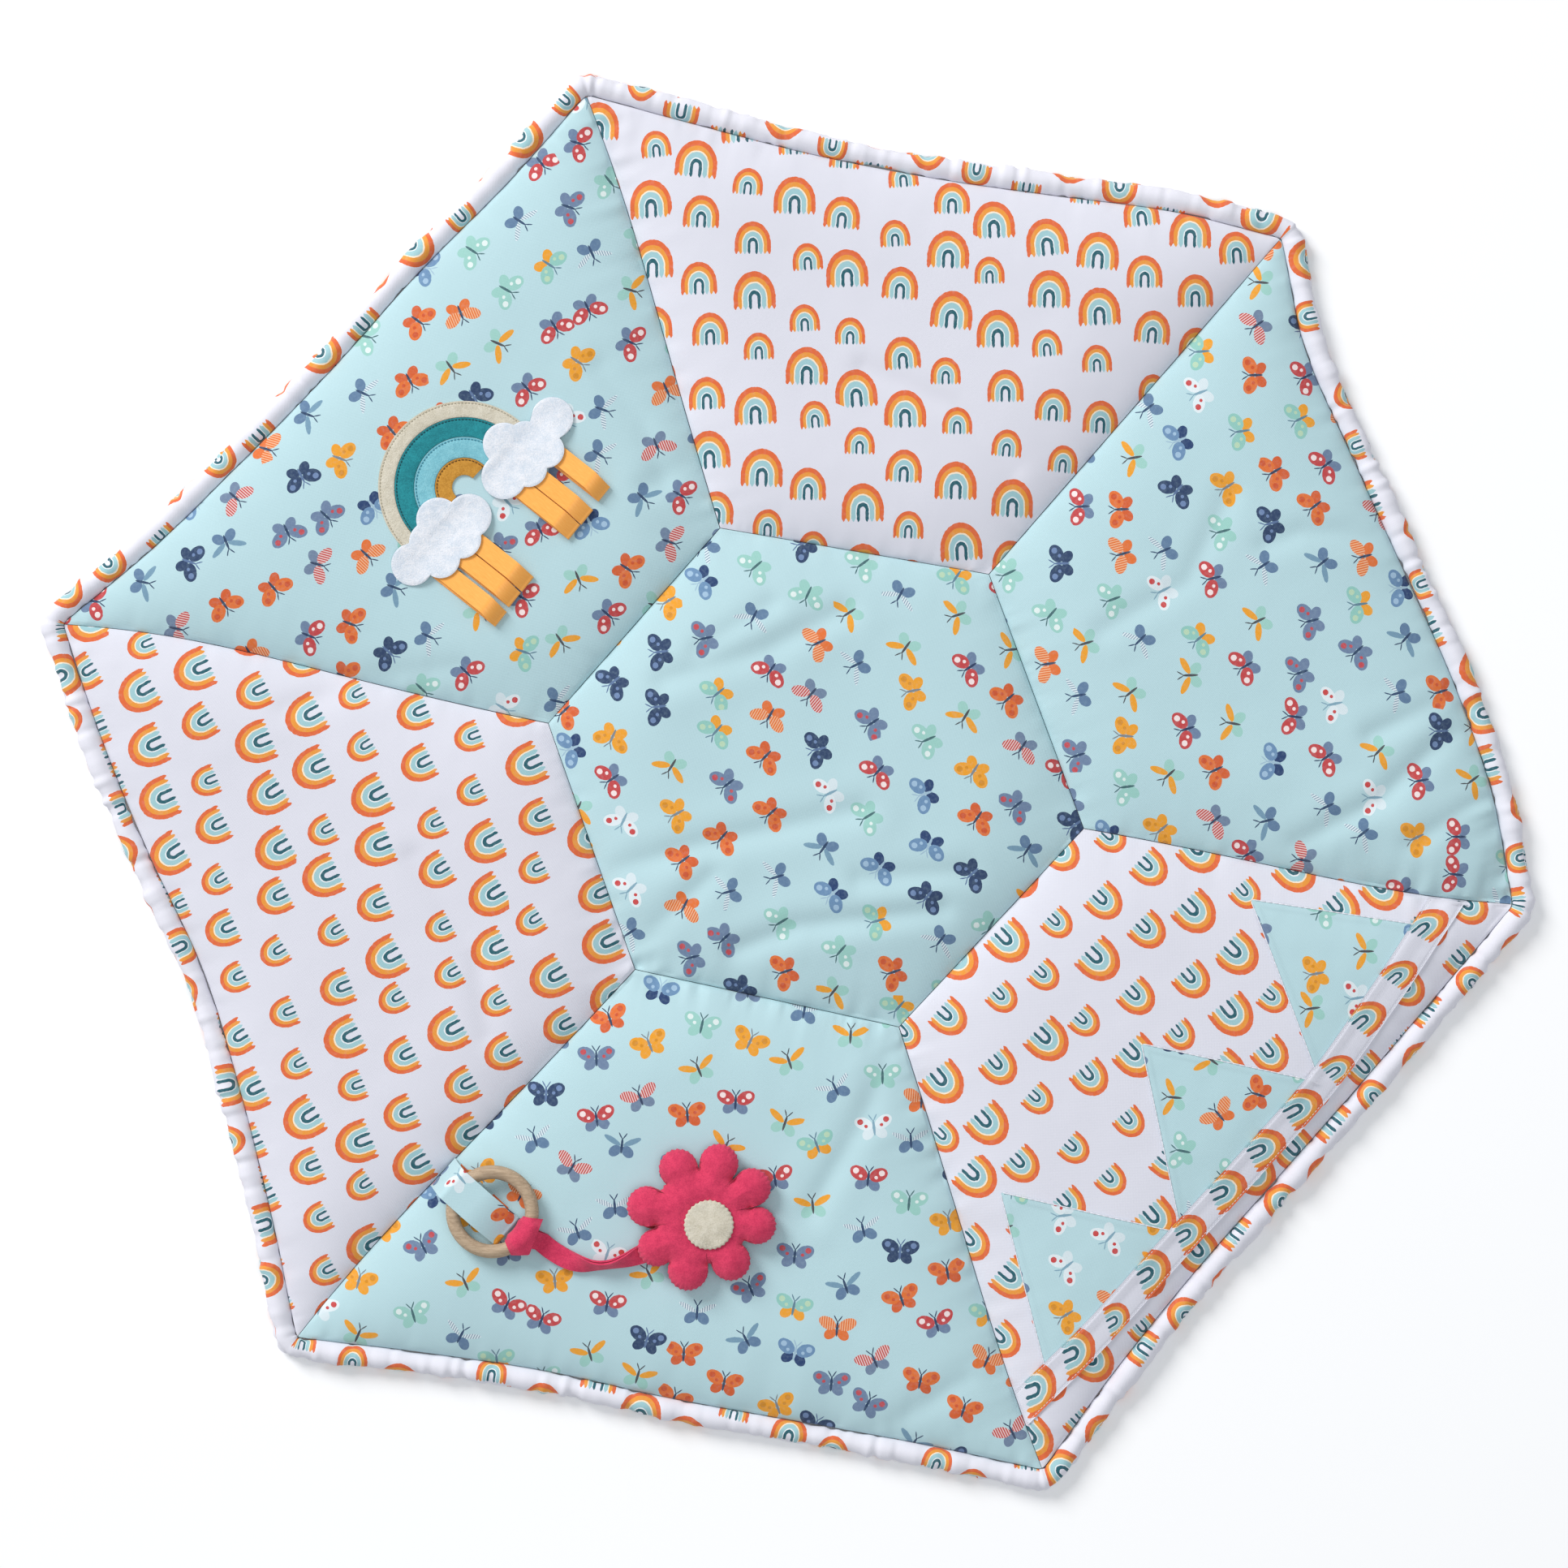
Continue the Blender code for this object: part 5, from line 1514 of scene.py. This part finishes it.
# %% Doubled strap from the ring to the flower
STRAP_WIDTH = 15.5
STRAP_TWISTED_WIDTH = 12.0
STRAP_AZIMUTH = math.radians(-36)
STRAP_EASE = 1.4
STRAP_LAYER_GAP = 0.8
FLAP_AZIMUTHS = (-8.0, -66.0)
FLAP_TAPER = 12.0
FLAP_THICK = 1.1
FLAP_RISE = 3.0
FLAP_EASE = 0.3
FLAP_UNEVEN = 0.25
FLAP_COLUMNS = 41
FLAP_BEND = (190.0, 62.0)
FLAP_BEND_ROWS = 22
FLAP_FALL = 0.62
FLAP_ENDS = (
    # direction that an end faces in degrees, its distance from the ring's middle
    (-21.1, 39.6),
    (-90.0, 34.0),
)
STRAP_COURSE = (
    # x, y, turn
    (-197.0, -366.0, 0.0),
    (-189.0, -372.5, 0.0),
    (-177.0, -379.5, 8.0),
    (-165.0, -383.5, 35.0),
    (-154.0, -384.5, 62.0),
    (-142.0, -383.5, 66.0),
    (-130.0, -380.5, 45.0),
    (-121.0, -377.2, 22.0),
    (-113.0, -374.0, 0.0),
)


def felt_strap():
    """The doubled felt strip."""
    out = direction(STRAP_AZIMUTH)
    across_ring = np.array((-out[1], out[0], 0.0))
    core = np.array((*(RING_CENTRE + out * RING_RADIUS), ring_level))
    around = RING_SECTION + STRAP_EASE + FELT_THICK / 2
    layer = (FELT_THICK + STRAP_LAYER_GAP) / 2
    table = np.array(STRAP_COURSE)
    fine = np.linspace(0, len(table) - 1, 73)
    x, y, turn = (smooth_between(table[:, k], fine) for k in range(3))
    place = np.stack([x, y], -1)
    tangent = np.gradient(place, axis=0)
    tangent = tangent / np.hypot(*tangent.T)[:, None]
    lower = []
    upper = []
    for p, (tx, ty), degrees in zip(place, tangent, turn):
        roll = math.radians(degrees)
        half = (STRAP_WIDTH + (STRAP_TWISTED_WIDTH - STRAP_WIDTH) * math.sin(roll)) / 2
        across = np.array((-ty * math.cos(roll), tx * math.cos(roll), math.sin(roll)))
        through = np.cross((tx, ty, 0.0), across)
        looks = np.array([p + across[:2] * half * s for s in (-1, 0, 1)])
        level = panel_top(BOTTOM, looks).max() + REST_GAP
        level += half * math.sin(roll) + (FELT_THICK + layer) * math.cos(roll)
        middle = np.array((*p, level))
        lower.append((middle - through * layer, across * half, through * (-FELT_THICK / 2)))
        upper.append((middle + through * layer, across * half, through * (FELT_THICK / 2)))
    stations = lower[::-1]
    for step in range(2, 25):
        angle = math.radians(-60 - 10 * step)
        away = np.array((*(out * math.cos(angle)), math.sin(angle)))
        stations.append((core + away * around, across_ring * STRAP_WIDTH / 2, away * (FELT_THICK / 2)))
    stations += upper
    piece, length = strip("felt_strap_doubled", stations, 7, red_felt)
    sew_on(piece, "red_felt", "felt_strap")
    print("felt strap", round(length), "mm long flat")


def strap_flap():
    """The strip's other turn: a flap bent over the ring and the doubled strap, with two straight ends."""
    azimuth = np.radians(np.linspace(*FLAP_AZIMUTHS, FLAP_COLUMNS))
    from_side = np.radians(FLAP_TAPER)
    inside = np.clip(np.minimum(azimuth[0] - azimuth, azimuth - azimuth[-1]) / from_side, 0, 1)
    over_strap = inside * inside * (3 - 2 * inside)
    around = RING_SECTION + FLAP_EASE + FLAP_THICK / 2 + FLAP_RISE * over_strap
    edges = [far / np.cos(azimuth - math.radians(facing)) for facing, far in FLAP_ENDS]
    reach = np.min(edges, axis=0)
    bend = np.radians(np.linspace(*FLAP_BEND, FLAP_BEND_ROWS))[:, None]
    out = RING_RADIUS + around * np.cos(bend)
    level = ring_level + around * np.sin(bend)
    share = np.linspace(0, 1, 8)[1:, None]
    flap_out = out[-1] + (reach - out[-1]) * share
    flap_level = level[-1] - (reach - out[-1]) * share * FLAP_FALL
    out = np.concatenate([out, flap_out])
    level = np.concatenate([level, flap_level])
    level = level + FLAP_UNEVEN * soft_noise(out, azimuth * RING_RADIUS, 6.0, 91)
    radial = np.stack([np.cos(azimuth), np.sin(azimuth)], -1)
    middle = np.concatenate([RING_CENTRE + radial * out[..., None], level[..., None]], -1)
    across = np.gradient(middle, axis=1)
    normal = np.cross(np.gradient(middle, axis=0), across)
    normal = normal / np.linalg.norm(normal, axis=-1)[..., None]
    normal = normal * np.sign(normal[FLAP_BEND_ROWS // 2, FLAP_COLUMNS // 2, 2])
    upper = (middle + normal * FLAP_THICK / 2).reshape(-1, 3)
    lower = (middle - normal * FLAP_THICK / 2).reshape(-1, 3)
    faces, rim = grid_faces(len(out), FLAP_COLUMNS)
    points = np.concatenate([upper, lower])
    piece = make_piece("felt_strap_flap", points, close_sheet(faces, rim, len(upper)), red_felt)
    sew_on(piece, "red_felt")


felt_strap()
strap_flap()

# %% [markdown]
# ## The stuffed flower
#
# Two felt flowers are whip-stitched together round their edge and stuffed. The petals are round
# lobes round a round body, and the filling makes each one a small cushion with a valley between it
# and the next. The edge stays flat, as thick as two layers of felt, with the thread over it.

# %% Flower and its disc
FLOWER_CENTRE = np.array((-68.7, -344.7))
FLOWER_THICK = 19.0
FLOWER_BODY_RADIUS = 39.0
FLOWER_MIDDLE_SHARE = 0.45
FLOWER_UPPER_SHARE = 0.55
FLOWER_EDGE_HALF = 1.2
FLOWER_SUNK = 2.4
SUNK_REACH = 24.0
PINCH_DEPTH = 0.45
FLOWER_OUTLINE_POINTS = 440
FLOWER_RINGS = 36
FLOWER_SHOULDER = 21.0
PETALS = (
    # direction in degrees, distance of the lobe's middle, radius of the lobe
    (72.6, 44.0, 15.6),
    (117.0, 42.5, 15.6),
    (170.3, 45.0, 16.2),
    (214.6, 44.5, 15.2),
    (255.0, 45.0, 16.2),
    (302.0, 42.5, 15.8),
    (350.1, 44.5, 15.0),
    (30.0, 45.5, 15.4),
)
DISC_CENTRE = np.array((-63.5, -351.2))
DISC_RADIUS = 20.0
DISC_DOME = 2.0
DISC_NOTCH = 0.4
DISC_POINTS = 186
DISC_RINGS = 16
DISC_WHIP_PITCH = 4.1
WHIP_PITCH = 4.4
WHIP_INSET = 2.6


def whip_bars(outline, top, pitch, inset, drop):
    """Threads that run in over an edge: from inside the outline to just over the rim."""
    closed = np.concatenate([outline, outline[:1]])
    travelled = travel(closed)
    count = round(travelled[-1] / pitch)
    bars = []
    for reach in (np.arange(count) + 0.5) * travelled[-1] / count:
        point = np.array([np.interp(reach, travelled, closed[:, k]) for k in range(2)])
        ahead = np.array([np.interp(reach + 0.5, travelled, closed[:, k]) for k in range(2)])
        run = (ahead - point) / max(np.hypot(*(ahead - point)), 1e-6)
        inward = np.array((-run[1], run[0]))
        inner = point + inward * inset
        rim = point - inward * 0.25
        bars.append((np.array((*inner, top(inner) + 0.1)), np.array((*rim, top(point) - drop))))
    return bars


def nearest_edge(place, outline):
    """Distance from each place to the nearest point of an outline."""
    return np.array([np.hypot(*(outline - p).T).min() for p in place])


def flower():
    """The stuffed felt flower."""
    lobes = [(*(FLOWER_CENTRE + direction(math.radians(a)) * d), r) for a, d, r in PETALS]
    lobes.append((*FLOWER_CENTRE, FLOWER_BODY_RADIUS))
    outline = lobed_outline(FLOWER_CENTRE, lobes, FLOWER_OUTLINE_POINTS)
    travelled = travel(np.concatenate([outline, outline[:1]]))
    count = round(travelled[-1] / WHIP_PITCH)
    pinch = PINCH_DEPTH * np.cos(travelled[:-1] / travelled[-1] * count * math.tau)
    outward = (outline - FLOWER_CENTRE) / np.hypot(*(outline - FLOWER_CENTRE).T)[:, None]
    rim = outline - outward * (PINCH_DEPTH + pinch)[:, None]
    sizes = 1 - np.linspace(0, 1, FLOWER_RINGS + 1)[:-1] ** 1.5
    place = (FLOWER_CENTRE + (rim - FLOWER_CENTRE) * sizes[:, None, None]).reshape(-1, 2)
    place = np.concatenate([place, FLOWER_CENTRE[None]])
    floor_level = panel_top(BOTTOM, place).max() + REST_GAP
    middle = floor_level + FLOWER_THICK * FLOWER_MIDDLE_SHARE
    edge = nearest_edge(place, rim)
    stuffing = (1 - (1 - np.clip(edge / FLOWER_SHOULDER, 0, 1)) ** 2.0) ** 0.62
    sunk = FLOWER_SUNK * np.exp(-(np.hypot(*(place - DISC_CENTRE).T) / SUNK_REACH) ** 6)
    wrinkle = 0.5 * soft_noise(place[:, 0], place[:, 1], 9.0, 51) * np.clip(edge / 6.0, 0, 1)
    rise = FLOWER_THICK * FLOWER_UPPER_SHARE - FLOWER_EDGE_HALF
    fall = FLOWER_THICK * FLOWER_MIDDLE_SHARE - FLOWER_EDGE_HALF
    upper_level = middle + FLOWER_EDGE_HALF + rise * stuffing - sunk + wrinkle
    lower_level = middle - FLOWER_EDGE_HALF - fall * stuffing
    net = ring_faces(FLOWER_RINGS, FLOWER_OUTLINE_POINTS)
    piece = layered_piece("flower_stuffed", place, upper_level, lower_level, net, red_felt)
    sew_on(piece, "red_felt", "flower")
    bars = whip_bars(outline, lambda p: middle + 1.6, WHIP_PITCH, WHIP_INSET, 1.2)
    stitches("flower_whip_stitches", bars, 0.95, red_thread, "red_felt")
    return piece


def flower_disc(flower_piece):
    """The padded felt disc on the flower."""
    turn = np.arange(DISC_POINTS) * math.tau / DISC_POINTS
    spokes = np.stack([np.cos(turn), np.sin(turn)], -1)
    notches = round(math.tau * DISC_RADIUS / DISC_WHIP_PITCH)
    rim = DISC_CENTRE + spokes * (DISC_RADIUS - DISC_NOTCH - DISC_NOTCH * np.cos(turn * notches))[:, None]
    outline = DISC_CENTRE + spokes * DISC_RADIUS
    sizes = np.linspace(1, 0, DISC_RINGS + 1)[:-1] ** 0.7
    place = (DISC_CENTRE + (rim - DISC_CENTRE) * sizes[:, None, None]).reshape(-1, 2)
    place = np.concatenate([place, DISC_CENTRE[None]])
    flower_bed = tree_of([flower_piece])
    under = look_down(flower_bed, place, 1.5) + 0.2
    size = np.concatenate([np.repeat(sizes, DISC_POINTS), [0.0]])
    top = under + FELT_THICK + DISC_DOME * (1 - size ** 2) ** 0.6 - 0.5 * (size > 0.99)
    net = ring_faces(DISC_RINGS, DISC_POINTS)
    piece = layered_piece("flower_disc_felt", place, top, under, net, cream_felt)
    sew_on(piece, "cream_felt", "flower_disc")
    rim_level = top[:DISC_POINTS]

    def disc_top(point):
        away = point - DISC_CENTRE
        step = int(round(math.atan2(away[1], away[0]) / math.tau * DISC_POINTS)) % DISC_POINTS
        return rim_level[step] + 0.35

    bars = whip_bars(outline, disc_top, DISC_WHIP_PITCH, 2.2, 0.9)
    stitches("flower_disc_whip_stitches", bars, 0.8, cream_thread, "cream_felt")


flower_disc(flower())

# %% [markdown]
# ## Pennants and their tape
#
# Three triangles of butterfly cotton hang from a tape of the rainbow cotton, sewn from seam to seam
# on the lower right panel. Their edges are turned under, which makes them a little thicker there. A
# thin line of white thread along both long edges is a painted highlight, where the turned edges
# catch the light. The tape bows out in the middle, covers the triangles' bases, and is topstitched
# along both edges.

# %% Pennants
LOWER_RIGHT = 4
TAPE_WIDTH = 25.0
TAPE_START = np.array((175.6, -493.1))
TAPE_END = np.array((508.7, -95.9))
TAPE_BOWS = (0.0, 7.0, 10.0, 14.0, 16.0, 9.0, 0.0)
TAPE_TUCK = 6.0
TAPE_OUTWARD = (0.766, -0.643)
TAPE_END_GAP = 2.0
TAPE_PRINT_MIDDLE = 45.0
TAPE_LINES = np.array((0.0, 0.7, 1.5, 2.3, 4.0, 8.0, 12.5, 17.0, 21.0, 22.7, 23.5, 24.3, TAPE_WIDTH))
SEWN_LINES = (2, 10)
TAPE_STITCH = (2.4, 0.8)
PENNANT_ROWS = 48
PENNANT_COLUMNS = 41
PENNANT_TIP = 0.012
PENNANT_PRINT_SLIDE = (11.0, 5.0)
HEM_WIDTH = 5.0
# painted highlight along the pennants' turned edges: overlapping lengths of white thread, in mm
EDGE_HIGHLIGHT_PITCH = 5.0
EDGE_HIGHLIGHT_LAP = 2.0
PENNANTS = (
    # node, up of the print, point x, y, upper base corner x, y, lower base corner x, y
    ("pennant_upper", 205.0, 368.1, -93.3, 500.9, -110.2, 416.0, -228.1),
    ("pennant_middle", 160.0, 280.6, -208.0, 413.4, -233.9, 306.5, -346.7),
    ("pennant_lower", 215.0, 168.5, -326.6, 303.3, -354.5, 200.2, -464.6),
)


def pennant(name, up, *spots):
    """One triangle with its edges turned under, and a painted highlight of white thread along its long
    edges.
    """
    tip, upper_base, lower_base = (np.array(spots[i:i + 2]) for i in (0, 2, 4))
    tuck = np.array(TAPE_OUTWARD) * TAPE_TUCK
    upper_base = upper_base + tuck
    lower_base = lower_base + tuck
    shares = PENNANT_TIP + (1 - PENNANT_TIP) * grade(PENNANT_ROWS, 0.4)
    sides = grade(PENNANT_COLUMNS, 0.7)
    left = tip + (upper_base - tip) * shares[:, None]
    right = tip + (lower_base - tip) * shares[:, None]
    place = left[:, None] + (right - left)[:, None] * sides[:, None]
    under = panel_top(LOWER_RIGHT, place) + REST_GAP
    from_upper = np.abs(line_margin(place, tip, upper_base)[0])
    from_lower = np.abs(line_margin(place, tip, lower_base)[0])
    hem = 0.5 / (1 + np.exp((np.minimum(from_upper, from_lower) - HEM_WIDTH) / 0.5))
    ripple = 0.25 * soft_noise(place[..., 0], place[..., 1], 14.0, 61)
    top = under + CLOTH_THICK - 0.3 + hem + ripple
    net = grid_faces(PENNANT_ROWS, PENNANT_COLUMNS)
    grain = printed(place.reshape(-1, 2), up, PENNANT_PRINT_SLIDE)
    piece = layered_piece(name + "_cloth", place, top, under, net, butterfly_print, grain)
    sew_on(piece, "butterfly_cotton", name)
    # Painted highlight: a thin line of white thread along both long edges, where the turned edges catch the
    # light.
    level = top[:, [0, -1]] - 0.1
    bars = []
    for column in (0, -1):
        course = np.concatenate([place[:, column], level[:, column][:, None]], -1)
        bars += stitch_bars(course, EDGE_HIGHLIGHT_PITCH + EDGE_HIGHLIGHT_LAP, -EDGE_HIGHLIGHT_LAP)
    stitches(name + "_painted_edge_highlight", bars, 0.9, white_thread, "butterfly_cotton")
    return piece


pennant_pieces = [pennant(*row) for row in PENNANTS]


# %% Tape over the pennants
def seam_crossing(point, along, index):
    """Where a line meets a seam."""
    clockwise = seam_line(index)[3]
    for _ in range(4):
        point = point - along * (seam_margin(index, point)[0] / (along @ clockwise))
    return point


def pennant_tape():
    """The tape from seam to seam, with its two rows of stitches."""
    along = (TAPE_END - TAPE_START) / np.hypot(*(TAPE_END - TAPE_START))
    out = np.array((along[1], -along[0]))
    lines = TAPE_LINES
    shares = np.linspace(0, 1, 300)
    bow = smooth_between(TAPE_BOWS, shares * (len(TAPE_BOWS) - 1))
    place = []
    for inset in lines:
        line = TAPE_START + out * inset
        start = seam_crossing(line, along, LOWER_RIGHT) + along * TAPE_END_GAP
        end = seam_crossing(line, along, LOWER_RIGHT + 1) - along * TAPE_END_GAP
        place.append(start + (end - start) * shares[:, None] + out * bow[:, None])
    place = np.array(place)
    ground = panel_top(LOWER_RIGHT, place)
    over = look_down(tree_of(pennant_pieces), place.reshape(-1, 2), 2.5).reshape(ground.shape)
    under = np.maximum(ground, over) + REST_GAP
    under = np.maximum(under, 0.5 * (np.roll(under, 2, axis=1) + np.roll(under, -2, axis=1)) - 0.3)
    groove = sum(0.45 * np.exp(-((lines - lines[row]) / 0.6) ** 2) for row in SEWN_LINES)
    ripple = 0.3 * soft_noise(shares[None] * 520.0, lines[:, None] * 0.4, 9.0, 81)
    top = under + CLOTH_THICK - groove[:, None] + ripple
    across = np.repeat(lines[:, None], len(shares), 1)
    reach = np.repeat(shares[None], len(lines), 0) * np.hypot(*(TAPE_END - TAPE_START))
    grain = np.stack([TAPE_PRINT_MIDDLE + TAPE_WIDTH / 2 - across, reach], -1).reshape(-1, 2)
    net = grid_faces(len(lines), len(shares))
    piece = layered_piece("pennant_tape_cloth", place, top, under, net, tape_print, grain)
    sew_on(piece, "rainbow_cotton", "pennant_tape")
    bars = []
    for row in SEWN_LINES:
        course = np.concatenate([place[row], top[row][:, None] + 0.05], -1)
        bars += stitch_bars(course, *TAPE_STITCH)
    stitches("tape_stitches", bars, 0.45, white_thread, "rainbow_cotton")


pennant_tape()

# %% [markdown]
# ## Sizes and the last check
#
# The dressed mat has to stay the size of the solids.

# %% Finish
dressed_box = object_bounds()
grown = [max(abs(a - b) for a, b in zip(cad, seen)) for cad, seen in zip(cad_box, dressed_box)]
print("largest difference from the solids' box", round(max(grown) * 1000, 1), "mm")
